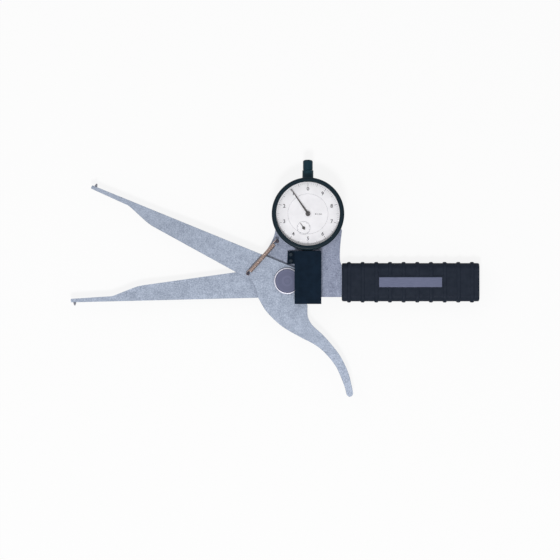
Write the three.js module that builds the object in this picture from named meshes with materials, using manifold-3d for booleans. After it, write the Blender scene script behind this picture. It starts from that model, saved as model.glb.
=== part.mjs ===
// Inside dial caliper. A spring-opened lever lifts the plunger of a dial gauge.
// Millimetres: X runs along the handle, Y towards the gauge, Z towards the reader.
// The origin lies on the pivot's axis, at the rear face of the pivot's nut.

import * as THREE from "three";
import { mergeVertices } from "three/addons/utils/BufferGeometryUtils.js";
import Module from "manifold-3d";

const wasm = await Module();
wasm.setup();

// Clearances, and the reach of a cut past the face that it opens.
const pressGap = 0.1;
const seatGap = 0.2;
const runGap = 0.2;
const sweepGap = 0.35;
const contactGap = 0.05;
const overrun = 1;
const weldDistance = 1e-4;

// Facets round a circle, by its size.
const largeSides = 40;
const middleSides = 24;
const smallSides = 14;
const pinSides = 10;
const cornerSteps = 4;
const gripSteps = 3;
const windowSides = 6;
const spanSteps = 2;
const ribStationShares = [-1, -0.62, 0.62, 1];

// Pivot.
const nutThick = 4.6;
const nutAcross = 15;
const nutSides = 6;
const rearWasherThick = 1;
const rearWasherRadius = 8.4;
const slipWasherThick = 0.4;
const slipWasherRadius = 9;
const threadRadius = 4;
const shoulderRadius = 5;
const pivotHeadRadius = 10.5;
const pivotHeadThick = 2.4;
const pivotChamfer = 1.1;
const pivotChamferDepth = 0.7;

// Plates, one behind the other.
const plateThick = 4;
const leverThick = 3;
const plateBack = nutThick + rearWasherThick + 2 * seatGap;
const plateFront = plateBack + plateThick;
const leverBack = plateFront + slipWasherThick + 2 * seatGap;
const leverFront = leverBack + leverThick;
const tipPlane = (plateFront + leverBack) / 2;
const pivotHeadBack = leverFront + seatGap;
const pivotHeadFront = pivotHeadBack + pivotHeadThick;

// Arms: distances along an arm from the pivot, and widths in from its outer edge.
const armReach = 171.5;
const fingerLength = 33;
const fingerTipWidth = 2.8;
const fingerRootWidth = 4.1;
const fingerRound = 2;
const taperLength = 20.5;
const taperEndWidth = 11.7;
const taperRound = 5;
const crotchReach = 40.2;
const crotchWidth = 20.7;
const leverEdge = 11.9;
const plateEdge = 12.7;
const leverSlope = THREE.MathUtils.degToRad(22.2);
const fixedSlope = THREE.MathUtils.degToRad(1.4);
const joggleReach = 82;
const joggleLength = 34;

// Contacts at the arms' ends.
const contactInset = 3;
const contactShankRadius = 0.8;
const contactShankLength = 1.9;
const contactRadius = 1.3;
const contactLength = 2.6;
const contactNoseRadius = 0.55;
const contactNoseBreak = THREE.MathUtils.degToRad(30);

// Lever: its working range, the ear with the anvil, the notch round the stop, and the trigger.
const swing = THREE.MathUtils.degToRad(17);
const anvilReach = 17;
const anvilRadius = 2;
const earRadius = 4.6;
const earTop = THREE.MathUtils.degToRad(60);
const edgeOverhang = 5;
const notchInset = 2.5;
const notchMargin = 4;
const stopRadius = 1.5;
const stopLean = THREE.MathUtils.degToRad(5.7);
const triggerReach = 52;
const triggerDrop = 91.6;
const triggerFrontShares = [
  [0.3, 0.257],
  [0.313, 0.3155],
  [0.3865, 0.383],
  [0.544, 0.466],
  [0.677, 0.551],
  [0.794, 0.6365],
  [0.879, 0.726],
  [0.94, 0.811],
  [0.973, 0.897],
  [1, 0.962],
  [0.998, 0.984],
  [0.955, 1],
  [0.91, 0.984],
  [0.892, 0.954],
];
const triggerBackShares = [
  [0.892, 0.954],
  [0.8635, 0.897],
  [0.8, 0.808],
  [0.727, 0.726],
  [0.575, 0.621],
  [0.423, 0.551],
  [0.194, 0.4825],
  [-0.033, 0.409],
  [-0.185, 0.3405],
  [-0.333, 0.25],
  [-0.44, 0.145],
];
const leverHeelShares = [
  [-0.44, 0.145],
  [-0.472, 0.078],
  [-0.515, 0.02],
  [-0.568, -0.017],
];

// The plate that carries the gauge, round the dial's centre.
const anvilLead = 0.7;
const carrierInset = 0.6;
const carrierSpread = THREE.MathUtils.degToRad(20);
const carrierFoot = 30;
const carrierLeft = 25.7;
const carrierRight = 27.1;
const carrierDrop = 12.2;
const carrierRound = 1.6;
const carrierBendShares = [0.96, 0.62];
const waistRight = 25.4;
const waistRise = 5.5;
const waistBendShares = [1.15, 0.65];
const flareBendShares = [0.05, 0.55];

// Handle: two shells on the body plate's tang.
const gripStart = 43.3;
const gripLength = 108.6;
const gripWidth = 30.3;
const gripCentre = -0.95;
const gripCorner = 4.5;
const gripEndRound = 1.2;
const ribCount = 10;
const ribMargin = 5.6;
const ribWidth = 2.9;
const ribProud = 0.95;
const ribFaceProud = 0.4;
const tangInset = 8.6;
const tangMargin = 5.65;
const tangRound = 3;
const badgeStart = 29.2;
const badgeLength = 49.8;
const badgeWidth = 7.9;
const badgeThick = 0.6;
const badgeCorner = 0.6;
const padMargin = 1.3;
const padProud = 0.4;
const gripScrewShares = [0.12, 0.5, 0.88];
const gripScrewRadius = 1.5;
const gripScrewHeadRadius = 2.7;
const gripScrewHeadThick = 1.7;
const gripScrewSink = 0.3;
const gripScrewCover = 3;
const screwSlotWidth = 0.7;
const screwSlotDepth = 0.6;

// Gauge case and its rotating bezel, round the dial's axis.
const caseRadius = 27;
const caseWall = 1.6;
const caseBackThick = 1.4;
const casePlinth = 1.5;
const bezelWall = 1.35;
const bezelWay = 0.5;
const sightInset = 1;
const bezelShoulder = 1.6;
const bezelChamfer = 0.5;
const bezelLip = 0.8;
const crystalThick = 1.4;
const crystalInset = 1;
const rehautWall = 0.8;
const rehautHeight = 2.2;
const dialThick = 0.6;
const dialSplitRadius = 15.9;
const caseScrewRadius = 1.5;
const caseScrewHeadRadius = 2.7;
const caseScrewHeadThick = 1.8;
const caseScrewCircle = 17;
const caseScrewAngles = [30, 150, 270].map(THREE.MathUtils.degToRad);

// Plunger, along Y behind the gear train.
const spindleRadius = 2.1;
const spindleRise = 6.6;
const spindleHeadroom = 0.25;
const tipLength = 5.2;
const tipRadius = 2;
const tipStubRadius = 0.9;
const tipStubLength = 2.5;
const stemRadius = 4;
const stemLength = 12.3;
const stemFlangeStep = 0.45;
const stemFlangeThick = 1.2;
const neckStep = 0.35;
const neckRise = 7.6;
const neckChamfer = 0.4;
const capStep = 0.5;
const capRise = 15.9;
const capWall = 0.9;
const capDome = 1.5;
const plungerSpringWire = 0.35;
const plungerSpringCurls = 6;
const plungerSpringSteps = 7;
const plungerSpringSides = 4;
const guidePinRadius = 0.6;
const guidePinRise = 9.1;
const guideSlotSpare = 0.5;

// Gear train: one turn of the pointer for each millimetre of plunger travel.
const rackTravelPerTurn = 10;
const rackPinionTeeth = 16;
const wheelTeeth = 100;
const centrePinionTeeth = 10;
const rackSpareTeeth = 4;
const counterDropShare = 0.5286;
const takeUpDirection = THREE.MathUtils.degToRad(60);
const wheelTipShare = 0.22;
const wheelDedendumShare = 1.6;
const toothTipShare = 0.16;
const toothRootShare = 0.6;
const addendumShare = 0.95;
const dedendumShare = 1.25;
const rackTipSink = 0.1;
const rackPinionLead = 1.6;
const arborRadius = 0.8;
const pivotRadius = 0.5;
const wheelThick = 0.7;
const wheelStep = 0.4;
const wheelWindowShare = 0.6;
const wheelWindowRadiusShare = 0.19;
const wheelWindows = 5;
const movementMargin = 4.4;
const movementThick = 0.9;
const frontPillarHeight = 2.9;
const pillarRadius = 1.6;
const pillarInset = 2;
const pillarAngles = [-35, 125, 190].map(THREE.MathUtils.degToRad);
const movementScrewRadius = 0.7;
const movementScrewLength = 1.9;
const movementScrewHead = 1.3;
const movementScrewHeadThick = 0.4;
const colletRadius = 1.3;
const colletThick = 0.7;
const hairspringTurns = 4;
const hairspringInner = 1.75;
const hairspringOuter = 4.6;
const hairspringBand = 0.16;
const hairspringHeight = 0.5;
const hairspringSteps = 12;
const studRadius = 0.45;

// Pointers.
const pointerMargin = 1.6;
const pointerTail = 3.2;
const pointerRootWidth = 1.1;
const pointerTipWidth = 0.35;
const pointerThick = 0.3;
const pointerHubRadius = 1.9;
const pointerHubHeight = 1;
const pointerLean = THREE.MathUtils.degToRad(34.4);
const pointerLift = 0.9;
const handReach = 4.6;
const handRootWidth = 0.7;
const handThick = 0.2;
const handHubRadius = 1.1;
const handHubHeight = 0.4;
const handLean = THREE.MathUtils.degToRad(33.7);
const handLift = 0.25;

// Cover over the anvil and the plunger's end.
const coverWidth = 21.1;
const coverDrop = 18.1;
const coverHeadroom = 0.65;
const coverDepth = 14.3;
const coverWall = 1.6;
const coverEarWidth = 5.8;
const coverEarGap = 1.6;
const coverEarHeight = 10.2;
const coverEarThick = 2;
const coverEarTaper = 0.4;
const coverScrewShares = [0.235, 0.725];
const coverScrewRadius = 0.9;
const coverScrewHead = 1.5;
const coverScrewHeadThick = 0.8;

// Return spring and the posts that it hooks on.
const upperPostAway = 5.5;
const upperPostAngle = THREE.MathUtils.degToRad(221.4);
const lowerPostReach = 30.9;
const lowerPostInset = 18.2;
const postRadius = 1.35;
const postGrooveRadius = 0.85;
const postGrooveHeight = 1;
const postHeadThick = 0.6;
const postShankRadius = 1.1;
const postShankSink = 2.6;
const springRadius = 1.45;
const springWire = 0.6;
const springCurls = 20;
const springCurlGap = 0.48;
const springLead = 1.2;
const curlSteps = 8;
const wireSides = 5;
const hookSteps = 9;
const hookWrap = THREE.MathUtils.degToRad(220);

// Sizes worked out from those above.
const dialX = anvilReach - anvilLead;
const coverLeft = dialX - coverWidth / 2;
const coverRight = coverLeft + coverWidth;
const coverEarFoot = leverEdge + coverEarGap;
const coverTop = coverEarFoot + coverEarHeight;
const coverBack = plateFront + seatGap;
const coverFront = coverBack + coverDepth;
const coverEarMiddle = coverLeft - coverEarWidth / 2;
const coverScrewPlaces = coverScrewShares.map((share) => coverEarFoot + share * coverEarHeight);
const carrierRadius = caseRadius - carrierInset;
const bezelRadius = caseRadius + seatGap + bezelWall;
const crystalRadius = caseRadius - crystalInset;
const bezelSightRadius = crystalRadius - sightInset;
const dialY = coverTop + coverHeadroom + bezelRadius;
const movementRadius = caseRadius - caseWall - movementMargin;
const pillarCircle = movementRadius - pillarInset;
const neckRadius = stemRadius + neckStep;
const capRadius = neckRadius - capStep;
const stemFlangeRadius = stemRadius + stemFlangeStep;
const gripMiddle = (plateBack + plateFront) / 2;
const gripThick = 2 * gripMiddle;
const ribPitch = (gripLength - 2 * ribMargin) / (ribCount - 1);
const tangLength = gripLength - tangInset;
const tangHalf = gripWidth / 2 - tangMargin;
const gripScrewPlaces = gripScrewShares.map((share) => share * tangLength);

// Points in the plane of a plate.
const at = (x, y) => new THREE.Vector2(x, y);
const polar = (radius, angle) => at(radius * Math.cos(angle), radius * Math.sin(angle));
const quarter = Math.PI / 2;
const half = Math.PI;
const turn = 2 * Math.PI;

function arc(centre, radius, from, to, steps) {
  const points = [];
  for (let i = 0; i <= steps; i += 1) {
    points.push(polar(radius, from + ((to - from) * i) / steps).add(centre));
  }
  return points;
}

const pair = (point) => [point.x, point.y];

function circle(centre, radius, sides) {
  return arc(centre, radius, -quarter, turn - quarter, sides).slice(0, sides);
}

// The bend that replaces a corner, starting `trim` before it and ending `trim` after it.
function rounded(before, corner, after, trim) {
  const start = before.clone().sub(corner).setLength(trim).add(corner);
  const end = after.clone().sub(corner).setLength(trim).add(corner);
  return bend(start, corner, end);
}

function bend(start, pull, end) {
  return new THREE.QuadraticBezierCurve(start, pull, end).getPoints(cornerSteps);
}

function smooth(points) {
  return new THREE.SplineCurve(points).getPoints(spanSteps * (points.length - 1));
}

// A rectangle with rounded corners, from its lower left corner.
function roundedBox(left, low, width, height, corner) {
  const right = left + width;
  const high = low + height;
  return [
    ...arc(at(right - corner, high - corner), corner, 0, quarter, cornerSteps),
    ...arc(at(left + corner, high - corner), corner, quarter, half, cornerSteps),
    ...arc(at(left + corner, low + corner), corner, half, half + quarter, cornerSteps),
    ...arc(at(right - corner, low + corner), corner, half + quarter, turn, cornerSteps),
  ];
}

// Solids, each as a closed geometry.
function prism(outline, back, front, holes = []) {
  const shape = new THREE.Shape(outline);
  shape.holes = holes.map((hole) => new THREE.Path(hole));
  const geometry = new THREE.ExtrudeGeometry(shape, { depth: front - back, bevelEnabled: false });
  return geometry.translate(0, 0, back);
}

function block(left, right, low, high, back, front) {
  const box = new THREE.BoxGeometry(right - left, high - low, front - back);
  return box.translate((left + right) / 2, (low + high) / 2, (back + front) / 2);
}

// A turned piece round Z. The profile holds [radius, height] pairs, outer side going up.
function turned(profile, sides) {
  return turnedAlongY(profile, sides).rotateX(quarter);
}

function turnedAlongY(profile, sides) {
  const points = profile.map(([radius, height]) => at(radius, height));
  return new THREE.LatheGeometry(points, sides);
}

function rod(centre, radius, back, front, sides) {
  const bar = new THREE.CylinderGeometry(radius, radius, front - back, sides);
  return bar.rotateX(quarter).translate(centre.x, centre.y, (back + front) / 2);
}

function rodAlongY(x, z, radius, low, high, sides) {
  const bar = new THREE.CylinderGeometry(radius, radius, high - low, sides);
  return bar.translate(x, (low + high) / 2, z);
}

// Joining and cutting.
function solidOf(geometry) {
  const bare = geometry.clone();
  bare.deleteAttribute("normal");
  bare.deleteAttribute("uv");
  const merged = mergeVertices(bare, weldDistance);
  const vertProperties = merged.attributes.position.array;
  const triVerts = new Uint32Array(merged.index.array);
  return new wasm.Manifold(new wasm.Mesh({ numProp: 3, vertProperties, triVerts }));
}

function geometryOf(solid) {
  const { vertProperties, triVerts } = solid.getMesh();
  const geometry = new THREE.BufferGeometry();
  geometry.setAttribute("position", new THREE.BufferAttribute(vertProperties, 3));
  geometry.setIndex(new THREE.BufferAttribute(triVerts, 1));
  return geometry;
}

function join(first, ...others) {
  return geometryOf(others.reduce((sum, other) => sum.add(solidOf(other)), solidOf(first)));
}

function cut(first, ...tools) {
  return geometryOf(tools.reduce((rest, tool) => rest.subtract(solidOf(tool)), solidOf(first)));
}

function keep(first, ...masks) {
  return geometryOf(masks.reduce((rest, mask) => rest.intersect(solidOf(mask)), solidOf(first)));
}

// Materials.
const steel = { color: 0xa7adb6, roughness: 0.34, metalness: 1 };
const darkSteel = { color: 0x6f727d, roughness: 0.4, metalness: 1 };
const brightSteel = { color: 0xc9ccd2, roughness: 0.2, metalness: 1 };
const brass = { color: 0xb08d4a, roughness: 0.35, metalness: 1 };
const blackPaint = { color: 0x11181f, roughness: 0.5, metalness: 0 };
const blackMetal = { color: 0x161b22, roughness: 0.38, metalness: 0.4 };
const handlePlastic = { color: 0x1c1f27, roughness: 0.55, metalness: 0 };
const dialWhite = { color: 0xf1efea, roughness: 0.6, metalness: 0 };
const pointerBlack = { color: 0x1d1715, roughness: 0.45, metalness: 0.2 };
const springSteel = { color: 0x8c7d84, roughness: 0.38, metalness: 1 };
const silver = { color: 0xb4b8c2, roughness: 0.35, metalness: 0.9 };
const clearCrystal = { color: 0xffffff, roughness: 0.05, metalness: 0, transparent: true, opacity: 0.25 };

function piece(name, geometry, finish, parent) {
  const faceted = geometry.index ? geometry.toNonIndexed() : geometry;
  faceted.computeVertexNormals();
  const mesh = new THREE.Mesh(faceted, new THREE.MeshStandardMaterial(finish));
  mesh.name = name;
  parent.add(mesh);
  return mesh;
}

function group(parent, x, y, z) {
  const made = new THREE.Group();
  made.position.set(x, y, z);
  parent.add(made);
  return made;
}

const caliper = new THREE.Group();
const gauge = group(caliper, dialX, dialY, 0);
const centre = at(0, 0);
const carrierCentre = at(dialX, dialY);

// The arms. A point lies `along` an arm from the pivot and `across` it, towards its outer edge.
const leverDirection = half - leverSlope;
const fixedDirection = half + fixedSlope;

function onLever(along, across) {
  return polar(along, leverDirection).add(polar(across, leverDirection - quarter));
}

function onFixedArm(along, across) {
  return polar(along, fixedDirection).add(polar(across, fixedDirection + quarter));
}

const taperReach = armReach - fingerLength - taperLength;
const wideningPerLength = (crotchWidth - taperEndWidth) / (taperReach - crotchReach);

// From the finger's outer corner round its end, and along the inner edge to `end`.
function innerEdge(place, edge, end) {
  const tip = place(armReach, edge - fingerTipWidth);
  const root = place(armReach - fingerLength, edge - fingerRootWidth);
  const heel = place(taperReach, edge - taperEndWidth);
  const last = place(end, edge - crotchWidth - wideningPerLength * (crotchReach - end));
  return [
    place(armReach, edge),
    tip,
    ...rounded(tip, root, heel, fingerRound),
    ...rounded(root, heel, last, taperRound),
    last,
  ];
}

// A plate seen from its edge: flat to the bend in its arm, then `rise` higher to the finger.
function offsetPlate(direction, back, front, rise) {
  const far = armReach + gripLength;
  const bent = joggleReach + joggleLength;
  const side = [
    at(-far, back),
    at(joggleReach, back),
    at(bent, back + rise),
    at(far, back + rise),
    at(far, front + rise),
    at(bent, front + rise),
    at(joggleReach, front),
    at(-far, front),
  ];
  return prism(side, -far, far).rotateX(quarter).rotateZ(direction);
}

// The contact's hole runs square to the arm's outer edge.
function contactTurn(place, outward) {
  const foot = place(armReach - contactInset, 0);
  const head = place(armReach - contactInset, outward);
  return head.sub(foot).angle() - quarter;
}

function contact(name, place, edge) {
  const seat = place(armReach - contactInset, edge);
  const stepHeight = seatGap;
  const noseStart = contactLength - contactNoseRadius;
  const profile = [
    [0, -contactShankLength],
    [contactShankRadius, -contactShankLength],
    [contactShankRadius, stepHeight],
    [contactRadius, stepHeight],
    ...arc(at(0, noseStart), contactNoseRadius, contactNoseBreak, quarter, gripSteps).slice(0, -1).map(pair),
    [0, contactLength],
  ];
  const mesh = piece(name, turnedAlongY(profile, pinSides), brightSteel, caliper);
  mesh.position.set(seat.x, seat.y, tipPlane);
  mesh.rotation.z = contactTurn(place, edge);
}

function contactHole(place, edge) {
  const radius = contactShankRadius + pressGap;
  const depth = contactShankLength + pressGap;
  const hole = rodAlongY(0, 0, radius, -depth, overrun, pinSides);
  const seat = place(armReach - contactInset, edge);
  return hole.rotateZ(contactTurn(place, edge)).translate(seat.x, seat.y, tipPlane);
}

// Body plate: the fixed arm, the hub, the gauge's carrier and the handle's tang in one.
const stopAngle = -swing / 2;
const anvilPlace = polar(anvilReach, stopAngle);
const stopDrop = earRadius + stopRadius + pressGap;
const stopPlace = anvilPlace.clone().add(polar(stopDrop, -quarter - stopLean));
const upperPost = polar(caseRadius + upperPostAway, upperPostAngle).add(carrierCentre);
const lowerPost = onLever(lowerPostReach, leverEdge - lowerPostInset);

function betweenShares(start, end, shares) {
  return at(start.x + (end.x - start.x) * shares[0], start.y + (end.y - start.y) * shares[1]);
}

function carrierEdge() {
  const footWidth = crotchWidth + wideningPerLength * (crotchReach - carrierFoot);
  const foot = onFixedArm(carrierFoot, plateEdge - footWidth);
  const arcRight = polar(carrierRadius, -carrierSpread).add(carrierCentre);
  const left = at(dialX - carrierLeft, dialY - carrierDrop);
  const right = at(dialX + carrierRight, dialY - carrierDrop);
  const waist = at(dialX + waistRight, plateEdge + waistRise);
  const shoulder = at(gripStart - seatGap, plateEdge);
  return [
    ...bend(foot, betweenShares(foot, left, carrierBendShares), left),
    ...arc(carrierCentre, carrierRadius, half + carrierSpread, -carrierSpread, middleSides),
    ...rounded(arcRight, right, waist, carrierRound),
    ...bend(
      right.clone().lerp(waist, carrierRound / right.distanceTo(waist)),
      betweenShares(right, waist, waistBendShares),
      waist,
    ).slice(1),
    ...bend(waist, betweenShares(waist, shoulder, flareBendShares), shoulder).slice(1),
  ];
}

function tangEdge() {
  const high = gripCentre + tangHalf;
  const low = gripCentre - tangHalf;
  const end = gripStart + tangLength;
  const root = gripStart - seatGap;
  return [
    at(root, high),
    ...rounded(at(root, high), at(end, high), at(end, low), tangRound),
    ...rounded(at(end, high), at(end, low), at(root, low), tangRound),
    at(root, low),
    at(root, -plateEdge),
    onFixedArm(0, plateEdge),
  ];
}

function plateHoles() {
  const pressed = (radius) => radius + pressGap;
  return [
    circle(centre, pressed(shoulderRadius), middleSides),
    circle(upperPost, pressed(postShankRadius), pinSides),
    circle(stopPlace, pressed(stopRadius), pinSides),
    ...coverScrewPlaces.map((y) => circle(at(coverEarMiddle, y), pressed(coverScrewRadius), smallSides)),
    ...caseScrewAngles.map((angle) =>
      circle(polar(caseScrewCircle, angle).add(carrierCentre), pressed(caseScrewRadius), smallSides)),
    ...gripScrewPlaces.map((x) =>
      circle(at(gripStart + x, gripCentre), pressed(gripScrewRadius), smallSides)),
  ];
}

function bodyPlate() {
  const arm = innerEdge(onFixedArm, plateEdge, carrierFoot);
  const outline = [...arm, ...carrierEdge().slice(1), ...tangEdge()];
  const rise = tipPlane - gripMiddle;
  const tall = prism(outline, plateBack - overrun, plateFront + rise + overrun, plateHoles());
  const plate = keep(tall, offsetPlate(fixedDirection, plateBack, plateFront, rise));
  return cut(plate, contactHole(onFixedArm, plateEdge));
}

// Jaw lever: the moving arm, the ear with the anvil, and the trigger in one.
function triggerPoints(shares) {
  return shares.map(([x, y]) => at(x * triggerReach, -y * triggerDrop));
}

function leverOutline() {
  const notchRadius = anvilReach - notchInset;
  const earMeets = Math.acos(
    (anvilReach ** 2 + notchRadius ** 2 - earRadius ** 2) / (2 * anvilReach * notchRadius),
  );
  const notchTop = stopAngle - earMeets;
  const notchJoint = polar(notchRadius, notchTop).sub(anvilPlace);
  const stopBreadth = Math.asin((stopRadius + pressGap) / stopPlace.length());
  const notchFoot = stopPlace.angle() - turn - swing - stopBreadth;
  const notchEnd = polar(anvilReach + notchMargin, notchFoot);
  const front = smooth([notchEnd, ...triggerPoints(triggerFrontShares)]);
  const back = smooth(triggerPoints(triggerBackShares)).slice(1);
  const heel = smooth(triggerPoints(leverHeelShares)).slice(1);
  return [
    ...innerEdge(onLever, leverEdge, crotchReach).reverse(),
    onLever(-edgeOverhang, leverEdge),
    ...arc(anvilPlace, earRadius, earTop, notchJoint.angle() - turn, smallSides),
    ...arc(centre, notchRadius, notchTop, notchFoot, cornerSteps).slice(1),
    ...front,
    ...back,
    ...heel,
  ];
}

function jawLever() {
  const drop = tipPlane - (leverBack + leverFront) / 2;
  const holes = [
    circle(centre, shoulderRadius + runGap, middleSides),
    circle(anvilPlace, anvilRadius + pressGap, smallSides),
    circle(lowerPost, postShankRadius + pressGap, pinSides),
  ];
  const tall = prism(leverOutline(), leverBack + drop - overrun, leverFront + overrun, holes);
  const lever = keep(tall, offsetPlate(leverDirection, leverBack, leverFront, drop));
  return cut(lever, contactHole(onLever, leverEdge));
}

// Pivot bolt, washers and nut.
function washer(inner, outer, back, front) {
  return turned([[inner, back], [outer, back], [outer, front], [inner, front], [inner, back]], middleSides);
}

function pivotBolt() {
  const shoulder = plateBack + seatGap;
  return turned(
    [
      [0, 0],
      [threadRadius, 0],
      [threadRadius, shoulder],
      [shoulderRadius, shoulder],
      [shoulderRadius, pivotHeadBack],
      [pivotHeadRadius, pivotHeadBack],
      [pivotHeadRadius, pivotHeadFront - pivotChamferDepth],
      [pivotHeadRadius - pivotChamfer, pivotHeadFront],
      [0, pivotHeadFront],
    ],
    middleSides,
  );
}

function pivotNut() {
  const hex = circle(centre, nutAcross / 2, nutSides);
  return prism(hex, 0, nutThick, [circle(centre, threadRadius + pressGap, middleSides)]);
}

function pivotPieces() {
  const washerBack = nutThick + seatGap;
  const slipBack = plateFront + seatGap;
  const rearInner = threadRadius + pressGap;
  const slipInner = shoulderRadius + pressGap;
  const rearWasher = washer(rearInner, rearWasherRadius, washerBack, washerBack + rearWasherThick);
  const slipWasher = washer(slipInner, slipWasherRadius, slipBack, slipBack + slipWasherThick);
  piece("pivot_bolt", pivotBolt(), darkSteel, caliper);
  piece("pivot_nut", pivotNut(), steel, caliper);
  piece("pivot_rear_washer", rearWasher, brightSteel, caliper);
  piece("pivot_slip_washer", slipWasher, brass, caliper);
}

// Pins in the plates.
function springPost(floor, plane) {
  const grooveLow = plane - postGrooveHeight / 2;
  const grooveHigh = plane + postGrooveHeight / 2;
  const head = grooveHigh + postHeadThick;
  return turned(
    [
      [0, floor - postShankSink],
      [postShankRadius, floor - postShankSink],
      [postShankRadius, floor + seatGap],
      [postRadius, floor + seatGap],
      [postRadius, grooveLow],
      [postGrooveRadius, grooveLow],
      [postGrooveRadius, grooveHigh],
      [postRadius, grooveHigh],
      [postRadius, head],
      [0, head],
    ],
    pinSides,
  );
}

const springPlane = leverFront + sweepGap + springRadius + springWire / 2;
const spindleZ = leverFront + sweepGap + spindleRadius;

function pins() {
  const anvilTop = spindleZ + tipRadius / 2;
  piece("spring_post_fixed", springPost(plateFront, springPlane), darkSteel, caliper)
    .position.set(upperPost.x, upperPost.y, 0);
  piece("spring_post_lever", springPost(leverFront, springPlane), darkSteel, caliper)
    .position.set(lowerPost.x, lowerPost.y, 0);
  piece("anvil_pin", rod(anvilPlace, anvilRadius, leverBack, anvilTop, smallSides), brightSteel, caliper);
  piece("stop_pin", rod(stopPlace, stopRadius, plateBack, leverFront, pinSides), steel, caliper);
}

// Return spring: hook, curls and hook in one wire from the lower post to the upper one.
// Each hook leaves the coil, wraps the far side of its post and stays open below.
function hook(post, outward) {
  const radius = postGrooveRadius + pressGap + springWire / 2;
  const points = [];
  for (let i = 0; i <= hookSteps; i += 1) {
    const angle = quarter + (hookWrap * i) / hookSteps;
    points.push(new THREE.Vector3(post - outward * radius * Math.cos(angle), radius * Math.sin(angle), 0));
  }
  return points;
}

function springLine() {
  const span = upperPost.distanceTo(lowerPost);
  const pitch = springWire + springCurlGap;
  const coil = springCurls * pitch;
  const coilStart = (span - coil) / 2;
  const curls = [];
  for (let i = 0; i <= springCurls * curlSteps; i += 1) {
    const angle = (turn * i) / curlSteps;
    const x = coilStart + (pitch * i) / curlSteps;
    curls.push(new THREE.Vector3(x, springRadius * Math.cos(angle), springRadius * Math.sin(angle)));
  }
  return [
    ...hook(0, -1).reverse(),
    new THREE.Vector3(coilStart - springLead, springRadius, 0),
    ...curls,
    new THREE.Vector3(coilStart + coil + springLead, springRadius, 0),
    ...hook(span, 1),
  ];
}

// A wire along a line of points. Each section is carried on from the last without twisting.
function wire(points, radius, sides) {
  const tangents = points.map((point, i) => {
    const before = points[Math.max(i - 1, 0)];
    const after = points[Math.min(i + 1, points.length - 1)];
    return after.clone().sub(before).normalize();
  });
  const normal = new THREE.Vector3(0, 0, 1);
  const rings = points.map((point, i) => {
    normal.addScaledVector(tangents[i], -normal.dot(tangents[i])).normalize();
    const across = tangents[i].clone().cross(normal);
    return Array.from({ length: sides }, (_, side) => {
      const angle = (turn * side) / sides;
      return point
        .clone()
        .addScaledVector(normal, radius * Math.cos(angle))
        .addScaledVector(across, radius * Math.sin(angle));
    });
  });
  return tubeOf(rings);
}

// A closed tube of equal rings, each end closed by a fan round its middle.
function tubeOf(rings) {
  const sides = rings[0].length;
  const positions = [];
  const middle = (ring) => ring.reduce((sum, p) => sum.add(p), new THREE.Vector3()).divideScalar(sides);
  for (const point of [...rings.flat(), middle(rings[0]), middle(rings[rings.length - 1])]) {
    positions.push(point.x, point.y, point.z);
  }
  const first = rings.length * sides;
  const last = first + 1;
  const index = [];
  for (let side = 0; side < sides; side += 1) {
    const next = (side + 1) % sides;
    for (let ring = 0; ring + 1 < rings.length; ring += 1) {
      const a = ring * sides + side;
      const b = ring * sides + next;
      index.push(a, b, a + sides, b, b + sides, a + sides);
    }
    const top = (rings.length - 1) * sides;
    index.push(first, next, side, last, top + side, top + next);
  }
  const geometry = new THREE.BufferGeometry();
  geometry.setAttribute("position", new THREE.Float32BufferAttribute(positions, 3));
  geometry.setIndex(index);
  return geometry;
}

// The least distance between the wire's surfaces at points that lie apart along it.
function leastGap(points, diameter) {
  const apart = curlSteps / 2;
  let least = Infinity;
  points.forEach((point, i) => {
    for (let j = i + apart; j < points.length; j += 1) {
      least = Math.min(least, point.distanceTo(points[j]));
    }
  });
  return least - diameter;
}

function returnSpring() {
  const line = springLine();
  const gap = leastGap(line, springWire);
  console.log(`return spring: least gap to itself ${gap.toFixed(2)} mm`);
  const mesh = piece("return_spring", wire(line, springWire / 2, wireSides), springSteel, caliper);
  mesh.position.set(lowerPost.x, lowerPost.y, springPlane);
  mesh.rotation.z = upperPost.clone().sub(lowerPost).angle();
}

// Cover: a box open at its back, with an ear for two screws and room for the lever below.
function transferCover() {
  const box = block(coverLeft, coverRight, -coverDrop, coverTop, coverBack, coverFront);
  const hollow = block(
    coverLeft + coverWall,
    coverRight - coverWall,
    coverWall - coverDrop,
    coverTop - coverWall,
    coverBack - overrun,
    coverFront - coverWall,
  );
  const earOutline = [
    at(coverLeft + coverWall / 2, coverEarFoot),
    at(coverLeft - coverEarWidth, coverEarFoot),
    at(coverLeft - coverEarWidth + coverEarTaper, coverTop),
    at(coverLeft + coverWall / 2, coverTop),
  ];
  const ear = prism(
    earOutline,
    coverBack,
    coverBack + coverEarThick,
    coverScrewPlaces.map((y) => circle(at(coverEarMiddle, y), coverScrewRadius + pressGap, smallSides)),
  );
  const low = -coverDrop - overrun;
  const back = coverBack - overrun;
  const left = coverLeft - overrun;
  const wallIn = coverLeft + coverWall + overrun;
  const footIn = coverWall + overrun - coverDrop;
  const headWay = block(left, wallIn, low, coverEarFoot, back, pivotHeadFront + sweepGap);
  const leverWay = block(left, coverRight - coverWall, low, footIn, back, leverFront + sweepGap);
  const stemHole = stemRadius + runGap;
  const stemTop = coverTop + overrun;
  const stemFoot = coverTop - coverWall - overrun;
  const stemBore = rodAlongY(dialX, spindleZ, stemHole, stemFoot, stemTop, smallSides);
  const stemWay = block(dialX - stemHole, dialX + stemHole, stemFoot, stemTop, back, spindleZ);
  return cut(join(box, ear), hollow, headWay, leverWay, stemBore, stemWay);
}

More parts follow.
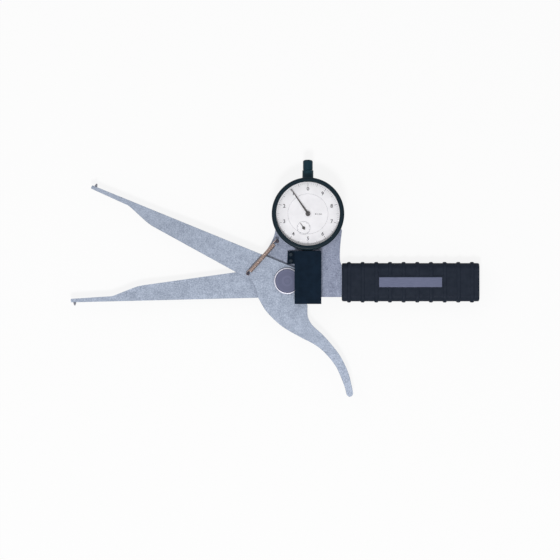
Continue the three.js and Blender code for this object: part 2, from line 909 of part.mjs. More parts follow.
function slottedScrew(headRadius, headThick, radius, length) {
  const head = turned(
    [
      [0, -length],
      [radius, -length],
      [radius, 0],
      [headRadius, 0],
      [headRadius, headThick],
      [0, headThick],
    ],
    smallSides,
  );
  const slotHalf = screwSlotWidth / 2;
  const reach = headRadius + overrun;
  const slot = block(-reach, reach, -slotHalf, slotHalf, headThick - screwSlotDepth, headThick + overrun);
  return cut(head, slot);
}

function coverPieces() {
  piece("transfer_cover", transferCover(), blackPaint, caliper);
  coverScrewPlaces.forEach((y, i) => {
    const length = coverEarThick + plateThick;
    const screw = slottedScrew(coverScrewHead, coverScrewHeadThick, coverScrewRadius, length);
    const mesh = piece(`cover_screw_${i + 1}`, screw, darkSteel, caliper);
    mesh.position.set(coverEarMiddle, y, coverBack + coverEarThick + seatGap);
  });
}

// Gauge case: a cup, standing on a plinth, with openings for the stem below and the neck above.
const caseBack = plateFront + seatGap;
const caseFloor = caseBack + caseBackThick;
const rearPlateBack = caseFloor + seatGap;
const rearPlateFront = rearPlateBack + movementThick;
const midPlateBack = spindleZ + spindleRadius + spindleHeadroom;
const midPlateFront = midPlateBack + movementThick;
const frontPlateBack = midPlateFront + frontPillarHeight + seatGap;
const frontPlateFront = frontPlateBack + movementThick;
const dialBack = frontPlateFront + seatGap;
const dialFront = dialBack + dialThick;
const rehautBack = dialFront + seatGap;
const crystalBack = rehautBack + rehautHeight + seatGap;
const crystalFront = crystalBack + crystalThick;
const bezelFront = crystalFront + seatGap + bezelLip;

function gaugeCase() {
  const inner = caseRadius - caseWall;
  const foot = carrierRadius - casePlinth;
  const cup = turned(
    [
      [0, caseBack],
      [foot, caseBack],
      [caseRadius, caseBack + casePlinth],
      [caseRadius, frontPlateFront],
      [inner, frontPlateFront],
      [inner, caseFloor],
      [0, caseFloor],
    ],
    largeSides,
  );
  const bore = stemRadius + pressGap;
  const outside = caseRadius + overrun;
  const inside = inner - caseWall;
  const stemHole = rodAlongY(0, spindleZ, bore, -outside, -inside, smallSides);
  const neckHole = rodAlongY(0, spindleZ, bore, inside, outside, smallSides);
  const screwBore = caseScrewRadius + pressGap;
  const screwHoles = caseScrewAngles.map((angle) =>
    rod(polar(caseScrewCircle, angle), screwBore, caseBack - overrun, caseFloor + overrun, smallSides));
  return cut(cup, stemHole, neckHole, ...screwHoles);
}

// Guide bushes, in the case's wall, and the cap over the plunger's upper end.
function innerWallAt(radius) {
  return Math.sqrt((caseRadius - caseWall) ** 2 - radius ** 2);
}

function stemBush() {
  const seat = -innerWallAt(stemFlangeRadius) + seatGap;
  const bore = spindleRadius + runGap;
  const end = -caseRadius - stemLength;
  return turnedAlongY(
    [
      [bore, end],
      [stemRadius, end],
      [stemRadius, seat],
      [stemFlangeRadius, seat],
      [stemFlangeRadius, seat + stemFlangeThick],
      [bore, seat + stemFlangeThick],
      [bore, end],
    ],
    smallSides,
  );
}

function neckBush() {
  const seat = innerWallAt(stemFlangeRadius) - seatGap;
  const bore = spindleRadius + runGap;
  const outside = caseRadius + seatGap;
  const top = caseRadius + neckRise;
  return turnedAlongY(
    [
      [bore, seat - stemFlangeThick],
      [stemFlangeRadius, seat - stemFlangeThick],
      [stemFlangeRadius, seat],
      [stemRadius, seat],
      [stemRadius, outside],
      [neckRadius, outside],
      [neckRadius, top - neckChamfer],
      [neckRadius - neckChamfer, top],
      [bore, top],
      [bore, seat - stemFlangeThick],
    ],
    smallSides,
  );
}

function spindleCap() {
  const foot = caseRadius + neckRise + seatGap;
  const top = caseRadius + capRise;
  const bore = capRadius - capWall;
  const dome = new THREE.QuadraticBezierCurve(at(capRadius, top - capDome), at(capRadius, top), at(0, top));
  return turnedAlongY(
    [
      [bore, foot],
      [capRadius, foot],
      ...dome.getPoints(cornerSteps).map(pair),
      [0, top - capDome],
      [bore, top - capDome],
      [bore, foot],
    ],
    smallSides,
  );
}

// Plunger with its rack, its contact tip and the pin that keeps it from turning.
const anvilTop = anvilPlace.y + anvilRadius;
const tipFoot = anvilTop + contactGap - dialY;
const tipHead = tipFoot + tipLength;
const rackPitch = rackTravelPerTurn / rackPinionTeeth;
const rackPinionRadius = rackTravelPerTurn / turn;
const rackModule = rackPitch / Math.PI;
const rackTip = spindleRadius - rackTipSink;
const rackPitchLine = rackTip - addendumShare * rackModule;
const counterX = -(rackPitchLine + rackPinionRadius);
const counterDrop = movementRadius * counterDropShare;
const counterPlace = at(counterX, -counterDrop);
const plungerTravel = 2 * anvilReach * Math.sin(swing / 2);
const rackGaps = Math.ceil(plungerTravel / rackPitch) + 2 * rackSpareTeeth + 1;
const spindleTop = caseRadius + spindleRise;

function rackCutter() {
  const root = rackPitchLine - dedendumShare * rackModule;
  const outside = spindleRadius + overrun;
  const tipHalf = (rackPitch * (1 - toothTipShare)) / 2;
  const rootHalf = (rackPitch * (1 - toothRootShare)) / 2;
  const high = rackPitch * rackSpareTeeth - counterDrop;
  const low = high - rackPitch * rackGaps;
  const outline = [at(-outside, low - rackPitch)];
  for (let i = 0; i < rackGaps; i += 1) {
    const middle = low + rackPitch * i;
    outline.push(at(-rackTip, middle - tipHalf), at(-root, middle - rootHalf));
    outline.push(at(-root, middle + rootHalf), at(-rackTip, middle + tipHalf));
  }
  outline.push(at(-outside, high));
  return prism(outline, spindleZ - spindleRadius - overrun, spindleZ + spindleRadius + overrun);
}

const guidePinPlace = at(0, guidePinRise);

function rackSpindle() {
  const foot = tipHead + seatGap;
  const bar = rodAlongY(0, spindleZ, spindleRadius, foot, spindleTop, smallSides);
  const stubRadius = tipStubRadius + pressGap;
  const stub = rodAlongY(0, spindleZ, stubRadius, foot - overrun, foot + tipStubLength, pinSides);
  const back = spindleZ - spindleRadius - overrun;
  const pinHole = rod(guidePinPlace, guidePinRadius + pressGap, back, spindleZ, pinSides);
  return cut(bar, stub, pinHole, rackCutter());
}

function contactTip() {
  return turnedAlongY(
    [
      [0, tipFoot],
      [tipRadius, tipFoot],
      [tipRadius, tipHead],
      [tipStubRadius, tipHead],
      [tipStubRadius, tipHead + tipStubLength],
      [0, tipHead + tipStubLength],
    ],
    smallSides,
  );
}

// Light spring between the plunger's upper end and the cap.
function plungerSpring() {
  const low = spindleTop + seatGap + plungerSpringWire / 2;
  const high = caseRadius + capRise - capDome - seatGap - plungerSpringWire / 2;
  const radius = spindleRadius - plungerSpringWire;
  const steps = plungerSpringCurls * plungerSpringSteps;
  const points = [];
  for (let i = 0; i <= steps; i += 1) {
    const angle = (turn * i) / plungerSpringSteps;
    const y = low + ((high - low) * i) / steps;
    points.push(new THREE.Vector3(radius * Math.cos(angle), y, radius * Math.sin(angle)));
  }
  return wire(points, plungerSpringWire / 2, plungerSpringSides);
}

function plungerPieces() {
  const pinBack = rearPlateBack + movementThick / 2;
  const pinFront = spindleZ - pressGap;
  piece("rack_spindle", rackSpindle(), steel, gauge);
  piece("contact_tip", contactTip(), brightSteel, gauge).position.z = spindleZ;
  piece("plunger_spring", plungerSpring(), springSteel, gauge).position.z = spindleZ;
  const pin = rod(guidePinPlace, guidePinRadius, pinBack, pinFront, pinSides);
  piece("spindle_guide_pin", pin, steel, gauge);
}

// Gears. `phase` is the angle of one tooth's middle.
function gearOutline(teeth, module, phase) {
  const pitchRadius = (teeth * module) / 2;
  const tip = pitchRadius + addendumShare * module;
  const root = pitchRadius - dedendumShare * module;
  const pitchAngle = turn / teeth;
  const tipHalf = (pitchAngle * toothTipShare) / 2;
  const rootHalf = (pitchAngle * toothRootShare) / 2;
  const outline = [];
  for (let i = 0; i < teeth; i += 1) {
    const middle = phase + pitchAngle * i;
    outline.push(polar(root, middle - rootHalf), polar(tip, middle - tipHalf));
    outline.push(polar(tip, middle + tipHalf), polar(root, middle + rootHalf));
  }
  return outline;
}

// A wheel's fine teeth, with pointed gaps.
function wheelOutline(phase) {
  const pitchAngle = turn / wheelTeeth;
  const tip = wheelPitchRadius + addendumShare * wheelModule;
  const root = wheelPitchRadius - wheelDedendumShare * wheelModule;
  const tipHalf = (pitchAngle * wheelTipShare) / 2;
  const outline = [];
  for (let i = 0; i < wheelTeeth; i += 1) {
    const middle = phase + pitchAngle * i;
    outline.push(polar(root, middle - pitchAngle / 2));
    outline.push(polar(tip, middle - tipHalf), polar(tip, middle + tipHalf));
  }
  return outline;
}

const wheelDistance = counterPlace.length();
const wheelModule = (2 * wheelDistance) / (wheelTeeth + centrePinionTeeth);
const wheelPitchRadius = (wheelTeeth * wheelModule) / 2;
const takeUpPlace = polar(wheelDistance, takeUpDirection);
const studAway = hairspringOuter + hairspringBand + studRadius + pressGap;
const studPlace = takeUpPlace.clone().add(at(studAway, 0));
const counterDirection = counterPlace.angle();
const pinionPhase = counterDirection;

// A wheel's tooth phase that leaves a gap for the centre pinion's tooth, seen from the centre.
function wheelPhase(direction) {
  const lead = (pinionPhase - direction) * (centrePinionTeeth / wheelTeeth);
  return direction + half - lead + half / wheelTeeth;
}

function wheel(direction, back) {
  const hub = circle(centre, arborRadius + pressGap, pinSides);
  const windows = Array.from({ length: wheelWindows }, (_, i) =>
    circle(
      polar(wheelPitchRadius * wheelWindowShare, (turn * i) / wheelWindows),
      wheelPitchRadius * wheelWindowRadiusShare,
      windowSides,
    ));
  const outline = wheelOutline(wheelPhase(direction));
  return prism(outline, back, back + wheelThick, [hub, ...windows]);
}

// An arbor: pivot, body and upper seat, with a pinion joined where it has one.
function arbor(sections) {
  const profile = [[0, sections[0].from]];
  for (const section of sections) {
    profile.push([section.radius, section.from], [section.radius, section.to]);
  }
  profile.push([0, sections[sections.length - 1].to]);
  return turned(profile, pinSides);
}

const counterWheelBack = midPlateFront + wheelStep;
const takeUpWheelBack = counterWheelBack + wheelThick + wheelStep;
const handBack = dialFront + handLift;
const pointerBack = dialFront + pointerLift;
const rearPivotEnd = rearPlateBack + pressGap;
const midPivotEnd = midPlateBack + pressGap;

function counterArbor() {
  const shaft = arbor([
    { radius: pivotRadius, from: rearPivotEnd, to: rearPlateFront + seatGap },
    { radius: arborRadius, from: rearPlateFront + seatGap, to: frontPlateFront + seatGap },
    { radius: pivotRadius, from: frontPlateFront + seatGap, to: handBack + handHubHeight },
  ]);
  const outline = gearOutline(rackPinionTeeth, rackModule, 0);
  return join(shaft, prism(outline, spindleZ - rackPinionLead, midPlateBack - seatGap));
}

function centreArbor() {
  const shaft = arbor([
    { radius: pivotRadius, from: midPivotEnd, to: midPlateFront + seatGap },
    { radius: arborRadius, from: midPlateFront + seatGap, to: dialFront + seatGap },
    { radius: pivotRadius, from: dialFront + seatGap, to: pointerBack + pointerHubHeight },
  ]);
  const outline = gearOutline(centrePinionTeeth, wheelModule, pinionPhase);
  return join(shaft, prism(outline, midPlateFront + seatGap, frontPlateBack - seatGap));
}

function takeUpArbor() {
  return arbor([
    { radius: pivotRadius, from: midPivotEnd, to: midPlateFront + seatGap },
    { radius: arborRadius, from: midPlateFront + seatGap, to: frontPlateBack - seatGap },
    { radius: pivotRadius, from: frontPlateBack - seatGap, to: frontPlateFront - pressGap },
  ]);
}

// Movement plates. The rear two stand on pillars, and the screws hold the front one.
function pillars(back, front, bore) {
  return pillarAngles.map((angle) => {
    const post = rod(polar(pillarCircle, angle), pillarRadius, back, front, pinSides);
    if (bore === 0) return post;
    const foot = front - movementScrewLength;
    const hole = rod(polar(pillarCircle, angle), bore, foot, front + overrun, pinSides);
    return cut(post, hole);
  });
}

function holeAt(place, radius) {
  return circle(place, radius, pinSides);
}

function rearMovementPlate() {
  const slotHalf = guidePinRadius + runGap;
  const slotLow = guidePinRise - slotHalf - guideSlotSpare;
  const slotHeight = plungerTravel + 2 * (slotHalf + guideSlotSpare);
  const slot = roundedBox(-slotHalf, slotLow, 2 * slotHalf, slotHeight, slotHalf - pressGap);
  const holes = [holeAt(counterPlace, pivotRadius + runGap), slot];
  const plate = prism(circle(centre, movementRadius, middleSides), rearPlateBack, rearPlateFront, holes);
  const foot = rearPlateFront - movementThick / 2;
  return join(plate, ...pillars(foot, midPlateBack - seatGap, 0));
}

function middleMovementPlate() {
  const holes = [
    holeAt(counterPlace, arborRadius + runGap),
    holeAt(centre, pivotRadius + runGap),
    holeAt(takeUpPlace, pivotRadius + runGap),
    holeAt(studPlace, studRadius + pressGap),
  ];
  const plate = prism(circle(centre, movementRadius, middleSides), midPlateBack, midPlateFront, holes);
  const foot = midPlateFront - movementThick / 2;
  return join(plate, ...pillars(foot, frontPlateBack - seatGap, movementScrewRadius + pressGap));
}

const screwSeat = frontPlateFront - movementScrewHeadThick - 2 * pressGap;

function frontMovementPlate() {
  const holes = [
    holeAt(counterPlace, arborRadius + runGap),
    holeAt(centre, arborRadius + runGap),
    holeAt(takeUpPlace, pivotRadius + runGap),
    ...pillarAngles.map((angle) => holeAt(polar(pillarCircle, angle), movementScrewRadius + pressGap)),
  ];
  const rim = caseRadius - caseWall - seatGap;
  const sinkRadius = movementScrewHead + pressGap;
  const sinks = pillarAngles.map((angle) =>
    rod(polar(pillarCircle, angle), sinkRadius, screwSeat, frontPlateFront + overrun, pinSides));
  const plate = prism(circle(centre, rim, largeSides), frontPlateBack, frontPlateFront, holes);
  return cut(plate, ...sinks);
}

// Hairspring: a flat band wound outwards round the take-up arbor.
function hairspring() {
  const steps = hairspringTurns * hairspringSteps;
  const inner = [];
  const outer = [];
  for (let i = 0; i <= steps; i += 1) {
    const radius = hairspringInner + ((hairspringOuter - hairspringInner) * i) / steps;
    const angle = (turn * i) / hairspringSteps;
    inner.push(polar(radius, angle));
    outer.push(polar(radius + hairspringBand, angle));
  }
  const back = midPlateFront + seatGap;
  return prism([...inner, ...outer.reverse()], back, back + hairspringHeight);
}

function movementPieces() {
  piece("movement_plate_rear", rearMovementPlate(), brass, gauge);
  piece("movement_plate_middle", middleMovementPlate(), brass, gauge);
  piece("movement_plate_front", frontMovementPlate(), brass, gauge);
  pillarAngles.forEach((angle, i) => {
    const place = polar(pillarCircle, angle);
    const screw = turned(
      [
        [0, -movementScrewLength],
        [movementScrewRadius, -movementScrewLength],
        [movementScrewRadius, 0],
        [movementScrewHead, 0],
        [movementScrewHead, movementScrewHeadThick],
        [0, movementScrewHeadThick],
      ],
      pinSides,
    );
    const mesh = piece(`movement_screw_${i + 1}`, screw, steel, gauge);
    mesh.position.set(place.x, place.y, screwSeat + pressGap);
  });
  piece("counter_arbor", counterArbor(), steel, gauge).position.set(counterPlace.x, counterPlace.y, 0);
  piece("counter_wheel", wheel(counterDirection, counterWheelBack), brass, gauge)
    .position.set(counterPlace.x, counterPlace.y, 0);
  piece("centre_arbor", centreArbor(), steel, gauge);
  piece("take_up_arbor", takeUpArbor(), steel, gauge).position.set(takeUpPlace.x, takeUpPlace.y, 0);
  piece("take_up_wheel", wheel(takeUpDirection, takeUpWheelBack), brass, gauge)
    .position.set(takeUpPlace.x, takeUpPlace.y, 0);
  piece("hairspring", hairspring(), springSteel, gauge).position.set(takeUpPlace.x, takeUpPlace.y, 0);
  const colletBack = midPlateFront + seatGap;
  const collet = washer(arborRadius + pressGap, colletRadius, colletBack, colletBack + colletThick);
  piece("hairspring_collet", collet, brass, gauge).position.set(takeUpPlace.x, takeUpPlace.y, 0);
  const stud = rod(studPlace, studRadius, midPlateBack, colletBack + colletThick, pinSides);
  piece("hairspring_stud", stud, steel, gauge);
}

// Dial, pointers and the pieces that turn with the bezel.
function pointer(reach, tail, rootWidth, tipWidth, thick, hubRadius, hubHeight, lean, bore) {
  const blade = prism(
    [at(-rootWidth / 2, -tail), at(rootWidth / 2, -tail), at(tipWidth / 2, reach), at(-tipWidth / 2, reach)],
    (hubHeight - thick) / 2,
    (hubHeight + thick) / 2,
  );
  const hub = rod(centre, hubRadius, 0, hubHeight, smallSides);
  const hole = rod(centre, bore, -overrun, hubHeight + overrun, pinSides);
  return cut(join(blade, hub), hole).rotateZ(lean);
}

function bezel() {
  const skirtBack = spindleZ + neckRadius + bezelWay;
  const skirtBore = caseRadius + seatGap;
  const innerBore = crystalRadius + seatGap;
  const crown = new THREE.QuadraticBezierCurve(
    at(bezelRadius, bezelFront - bezelShoulder),
    at(bezelRadius, bezelFront),
    at(bezelRadius - bezelShoulder, bezelFront),
  );
  return turned(
    [
      [skirtBore, skirtBack],
      [bezelRadius - bezelChamfer, skirtBack],
      [bezelRadius, skirtBack + bezelChamfer],
      ...crown.getPoints(gripSteps).map(pair),
      [bezelSightRadius + bezelChamfer, bezelFront],
      [bezelSightRadius, bezelFront - bezelChamfer],
      [bezelSightRadius, crystalFront + seatGap],
      [innerBore, crystalFront + seatGap],
      [innerBore, rehautBack - seatGap / 2],
      [skirtBore, rehautBack - seatGap / 2],
      [skirtBore, skirtBack],
    ],
    largeSides,
  );
}

function facePieces() {
  const face = prism(
    circle(centre, dialSplitRadius, largeSides),
    dialBack,
    dialFront,
    [holeAt(centre, arborRadius + runGap), holeAt(counterPlace, arborRadius + runGap)],
  );
  const ringInner = dialSplitRadius + runGap;
  const ringOuter = caseRadius - pressGap;
  const scale = turned(
    [
      [ringInner, dialBack],
      [ringOuter, dialBack],
      [ringOuter, dialFront],
      [ringInner, dialFront],
      [ringInner, dialBack],
    ],
    largeSides,
  );
  const rehautInner = crystalRadius - rehautWall;
  const rehautFront = rehautBack + rehautHeight;
  const rehaut = turned(
    [
      [rehautInner, rehautBack],
      [crystalRadius, rehautBack],
      [crystalRadius, rehautFront],
      [rehautInner, rehautFront],
      [rehautInner, rehautBack],
    ],
    largeSides,
  );
  const crystal = rod(centre, crystalRadius, crystalBack, crystalFront, largeSides);
  piece("dial_face", face, dialWhite, gauge);
  piece("scale_ring", scale, dialWhite, gauge);
  piece("crystal_retainer", rehaut, blackMetal, gauge);
  piece("crystal", crystal, clearCrystal, gauge);
  piece("bezel", bezel(), blackMetal, gauge);
}

function pointerPieces() {
  const main = pointer(
    bezelSightRadius - pointerMargin, pointerTail, pointerRootWidth, pointerTipWidth, pointerThick,
    pointerHubRadius, pointerHubHeight, pointerLean, pivotRadius + pressGap,
  );
  const small = pointer(
    handReach, handHubRadius, handRootWidth, pointerTipWidth, handThick,
    handHubRadius, handHubHeight, handLean, pivotRadius + pressGap,
  );
  piece("main_pointer", main, pointerBlack, gauge).position.z = pointerBack;
  piece("counter_hand", small, pointerBlack, gauge).position.set(counterPlace.x, counterPlace.y, handBack);
}

function gaugePieces() {
  piece("gauge_case", gaugeCase(), blackMetal, gauge);
  piece("stem_bush", stemBush(), steel, gauge).position.z = spindleZ;
  piece("neck_bush", neckBush(), blackMetal, gauge).position.z = spindleZ;
  piece("spindle_cap", spindleCap(), blackPaint, gauge).position.z = spindleZ;
  caseScrewAngles.forEach((angle, i) => {
    const place = polar(caseScrewCircle, angle);
    const length = plateThick + caseBackThick;
    const screw = slottedScrew(caseScrewHeadRadius, caseScrewHeadThick, caseScrewRadius, length);
    const mesh = piece(`case_screw_${i + 1}`, screw.rotateX(half), steel, gauge);
    mesh.position.set(place.x, place.y, plateBack - seatGap);
  });
}

// Handle: a rounded bar with ribs round it, parted in the plane of the tang.
function gripSection(x, wide, high) {
  const halfWidth = gripWidth / 2 - gripCorner;
  const halfHeight = gripThick / 2 - gripCorner;
  const ring = [];
  for (let side = 0; side < 4; side += 1) {
    const signY = side === 0 || side === 3 ? 1 : -1;
    const signZ = side < 2 ? 1 : -1;
    for (let i = 0; i <= gripSteps; i += 1) {
      const angle = quarter * (side + i / gripSteps);
      const y = signY * halfWidth + (gripCorner + wide) * Math.cos(angle);
      const z = signZ * halfHeight + (gripCorner + high) * Math.sin(angle);
      ring.push(new THREE.Vector3(x, y, z));
    }
  }
  return ring;
}

function gripBar() {
  const rings = [];
  const ends = [0, quarter / 2, quarter].map((angle) => ({
    inset: gripEndRound * (1 - Math.sin(angle)),
    x: gripEndRound * (1 - Math.cos(angle)),
  }));
  for (const end of ends) {
    rings.push(gripSection(end.x, -end.inset, -end.inset));
  }
  for (let i = 0; i < ribCount; i += 1) {
    const middle = ribMargin + ribPitch * i;
    for (const share of ribStationShares) {
      const swell = Math.abs(share) < 1 ? 1 : 0;
      rings.push(gripSection(middle + (share * ribWidth) / 2, ribProud * swell, ribFaceProud * swell));
    }
  }
  for (const end of ends.reverse()) {
    rings.push(gripSection(gripLength - end.x, -end.inset, -end.inset));
  }
  return tubeOf(rings);
}

function gripShell(front) {
  const far = gripLength + overrun;
  const wide = gripWidth / 2 + ribProud + overrun;
  const seam = seatGap / 2;
  const top = gripThick / 2 + ribFaceProud + overrun;
  const mask = front
    ? block(-overrun, far, -wide, wide, seam, top)
    : block(-overrun, far, -wide, wide, -gripThick / 2, -seam);
  const pocket = block(
    -overrun,
    tangLength + seatGap,
    -tangHalf - seatGap,
    tangHalf + seatGap,
    -plateThick / 2 - seatGap,
    plateThick / 2 + seatGap,
  );
  return cut(keep(gripBar(), mask), pocket);
}

function gripFront() {
  const face = gripThick / 2;
  const padTop = face + padProud;
  const pad = block(
    badgeStart - padMargin,
    badgeStart + badgeLength + padMargin,
    -badgeWidth / 2 - padMargin,
    badgeWidth / 2 + padMargin,
    face / 2,
    padTop,
  );
  const recess = prism(
    roundedBox(
      badgeStart - seatGap,
      -badgeWidth / 2 - seatGap,
      badgeLength + 2 * seatGap,
      badgeWidth + 2 * seatGap,
      badgeCorner,
    ),
    padTop - badgeThick,
    padTop + overrun,
  );
  const deep = gripThick / 2 - gripScrewCover + pressGap;
  const bores = gripScrewPlaces.map((x) =>
    rod(at(x, 0), gripScrewRadius + pressGap, -overrun, deep, smallSides));
  return cut(join(gripShell(true), pad), recess, ...bores);
}

function gripBack() {
  const rear = -gripThick / 2;
  const seat = rear + gripScrewSink + gripScrewHeadThick + seatGap;
  const bores = gripScrewPlaces.flatMap((x) => [
    rod(at(x, 0), gripScrewRadius + pressGap, rear - overrun, 0, smallSides),
    rod(at(x, 0), gripScrewHeadRadius + runGap, rear - overrun, seat, smallSides),
  ]);
  return cut(gripShell(false), ...bores);
}

function gripPieces() {
  const grip = group(caliper, gripStart, gripCentre, gripMiddle);
  const badge = prism(
    roundedBox(badgeStart, -badgeWidth / 2, badgeLength, badgeWidth, badgeCorner),
    gripThick / 2 + padProud - badgeThick + pressGap,
    gripThick / 2 + padProud + pressGap,
  );
  piece("handle_front", gripFront(), handlePlastic, grip);
  piece("handle_rear", gripBack(), handlePlastic, grip);
  piece("name_plate", badge, silver, grip);
  gripScrewPlaces.forEach((x, i) => {
    const seat = gripScrewSink + gripScrewHeadThick - gripThick / 2;
    const length = gripThick / 2 - gripScrewCover - seat;
    const screw = slottedScrew(gripScrewHeadRadius, gripScrewHeadThick, gripScrewRadius, length);
    piece(`handle_screw_${i + 1}`, screw.rotateX(half), steel, grip).position.set(x, 0, seat);
  });
}

piece("body_plate", bodyPlate(), steel, caliper);
piece("jaw_lever", jawLever(), steel, caliper);
contact("contact_fixed", onFixedArm, plateEdge);
contact("contact_moving", onLever, leverEdge);
pivotPieces();
pins();
returnSpring();
coverPieces();
gaugePieces();
plungerPieces();
movementPieces();
pointerPieces();
facePieces();
gripPieces();

export default caliper;
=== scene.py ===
from math import acos, asin, atan2, cos, hypot, pi, radians, sin

import bpy
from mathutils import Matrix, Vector


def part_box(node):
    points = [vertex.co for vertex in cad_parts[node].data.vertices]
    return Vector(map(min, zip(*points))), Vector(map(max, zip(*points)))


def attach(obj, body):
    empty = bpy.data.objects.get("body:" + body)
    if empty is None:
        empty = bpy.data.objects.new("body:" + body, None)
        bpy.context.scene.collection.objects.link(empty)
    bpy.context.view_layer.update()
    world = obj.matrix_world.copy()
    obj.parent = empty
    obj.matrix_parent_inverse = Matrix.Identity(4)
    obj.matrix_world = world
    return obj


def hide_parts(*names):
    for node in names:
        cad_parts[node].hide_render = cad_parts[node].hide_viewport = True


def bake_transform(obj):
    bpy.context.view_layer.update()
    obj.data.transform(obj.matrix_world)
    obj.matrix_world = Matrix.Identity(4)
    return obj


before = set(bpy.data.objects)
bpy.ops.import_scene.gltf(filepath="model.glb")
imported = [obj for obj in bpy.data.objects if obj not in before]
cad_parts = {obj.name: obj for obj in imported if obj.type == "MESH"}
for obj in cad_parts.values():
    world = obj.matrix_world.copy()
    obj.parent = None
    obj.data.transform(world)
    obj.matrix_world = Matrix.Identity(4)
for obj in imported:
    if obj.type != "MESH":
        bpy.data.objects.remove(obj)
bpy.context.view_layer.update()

# Sizes and places are in millimetres, and MM turns them to metres. Angles are in radians.
MM = 0.001
TURN = 2 * pi

# Roundness of turned pieces, by size.
LARGE_SIDES = 128
MIDDLE_SIDES = 64
SMALL_SIDES = 32

# Levels of the plates and of the dial.
PLATE_LOW, PLATE_HIGH = 6.0, 10.0
LEVER_LOW, LEVER_HIGH = 10.8, 13.8
DIAL_LOW, DIAL_HIGH = 23.7, 24.3
PRINT_LOW, PRINT_HIGH = DIAL_HIGH - 0.02, DIAL_HIGH + 0.012

# Places that the pieces share. The pivot's axis goes through the centre.
CENTRE = (0.0, 0.0, 0.0)
DIAL_X, DIAL_Y = 16.3, 52.9
DIAL_CENTRE = (DIAL_X, DIAL_Y, 0.0)
PLUNGER_Z = 16.25
PLUNGER_CENTRE = (DIAL_X, DIAL_Y, PLUNGER_Z)
COUNTER_X, COUNTER_Y = 12.8974, 41.7994
CASE_RADIUS = 27
SPRING_Z = 15.95
UPPER_POST = (-8.0764, 31.4073)
LOWER_POST = (-30.9903, 5.8428)
CONTACT_REACH, CONTACT_Z = 168.5, 10.4
HANDLE_LEFT, HANDLE_RIGHT, HANDLE_Y = 43.3, 151.9, -0.95
TANG_END = HANDLE_LEFT + 100
SCREW_HOLE = 1.6
COVER_SCREWS = ((2.85, 15.897), (2.85, 20.895))
CASE_SCREW_REACH = 17
CASE_SCREWS = tuple(
    (DIAL_X + CASE_SCREW_REACH * cos(angle), DIAL_Y + CASE_SCREW_REACH * sin(angle))
    for angle in (radians(30), radians(150), radians(270))
)
HANDLE_SCREWS = tuple((x, HANDLE_Y) for x in (55.3, 93.3, 131.3))

# The turn that lays a turned piece, whose own axis is Z, along Y.
ALONG_Y = (-pi / 2, 0.0, 0.0)


def metres(values):
    return tuple(value * MM for value in values)


# Nodes of the materials. A socket is given a number, or the output of another node.
def set_sockets(tree, node, sockets):
    for key, value in sockets.items():
        if isinstance(value, bpy.types.NodeSocket):
            tree.links.new(value, node.inputs[key])
        else:
            node.inputs[key].default_value = value


def add_node(tree, kind, sockets=(), **settings):
    """Adds a node and gives its outputs."""
    node = tree.nodes.new("ShaderNode" + kind)
    for key, value in settings.items():
        setattr(node, key, value)
    set_sockets(tree, node, dict(sockets))
    return node.outputs


def reckon(tree, operation, first, second):
    return add_node(tree, "Math", {0: first, 1: second}, operation=operation)[0]


def spread(tree, value, low, high, to_low=0.0, to_high=1.0):
    """Spreads what lies between low and high from to_low to to_high."""
    return add_node(tree, "MapRange", {
        "Value": value, "From Min": low, "From Max": high, "To Min": to_low, "To Max": to_high,
    })["Result"]


def tones(tree, share, first, second):
    return add_node(tree, "Mix", {0: share, 6: first, 7: second}, data_type="RGBA")[2]


def stretched(tree, place, shares):
    return add_node(tree, "VectorMath", {0: place, 1: shares}, operation="MULTIPLY")[0]


def noise(tree, place, size, count, detail, roughness):
    """Noise with about this many waves to a size."""
    scale = reckon(tree, "DIVIDE", count, size)
    sockets = {"Vector": place, "Scale": scale, "Detail": detail, "Roughness": roughness}
    return add_node(tree, "TexNoise", sockets)[0]


# Node groups. Each takes a place and a size, and gives a shade and a height from 0 to 1.
def start_group(name):
    tree = bpy.data.node_groups.new(name, "ShaderNodeTree")
    for socket, side, kind in (
        ("Vector", "INPUT", "Vector"),
        ("Size", "INPUT", "Float"),
        ("Shade", "OUTPUT", "Float"),
        ("Height", "OUTPUT", "Float"),
    ):
        tree.interface.new_socket(socket, in_out=side, socket_type="NodeSocket" + kind)
    entry = tree.nodes.new("NodeGroupInput").outputs
    return tree, entry["Vector"], entry["Size"]


def end_group(tree, shade, height):
    set_sockets(tree, tree.nodes.new("NodeGroupOutput"), {"Shade": shade, "Height": height})
    return tree


def blasted_group():
    """Blasted steel: clouds a few grains wide over a fine even grain."""
    tree, place, size = start_group("blasted grain")
    clouds = noise(tree, place, size, 0.12, 5, 0.7)
    grain = noise(tree, place, size, 1.0, 3, 0.6)
    sockets = {"Factor": 0.68, "A": clouds, "B": grain}
    shade = add_node(tree, "Mix", sockets, data_type="FLOAT")["Result"]
    return end_group(tree, spread(tree, shade, 0.34, 0.66), grain)


def moulded_group():
    """Moulded plastic: small even pits, with a faint change of tone."""
    tree, place, size = start_group("moulded grain")
    sockets = {"Vector": place, "Scale": reckon(tree, "DIVIDE", 1.6, size)}
    pits = add_node(tree, "TexVoronoi", sockets, feature="SMOOTH_F1")["Distance"]
    tone = noise(tree, place, size, 0.12, 3, 0.5)
    return end_group(tree, spread(tree, tone, 0.2, 0.8), pits)


def painted_group():
    """Sprayed paint: a soft orange-peel skin."""
    tree, place, size = start_group("sprayed skin")
    peel = noise(tree, place, size, 1.0, 2, 0.4)
    tone = noise(tree, place, size, 0.08, 4, 0.6)
    return end_group(tree, spread(tree, tone, 0.35, 0.65), peel)


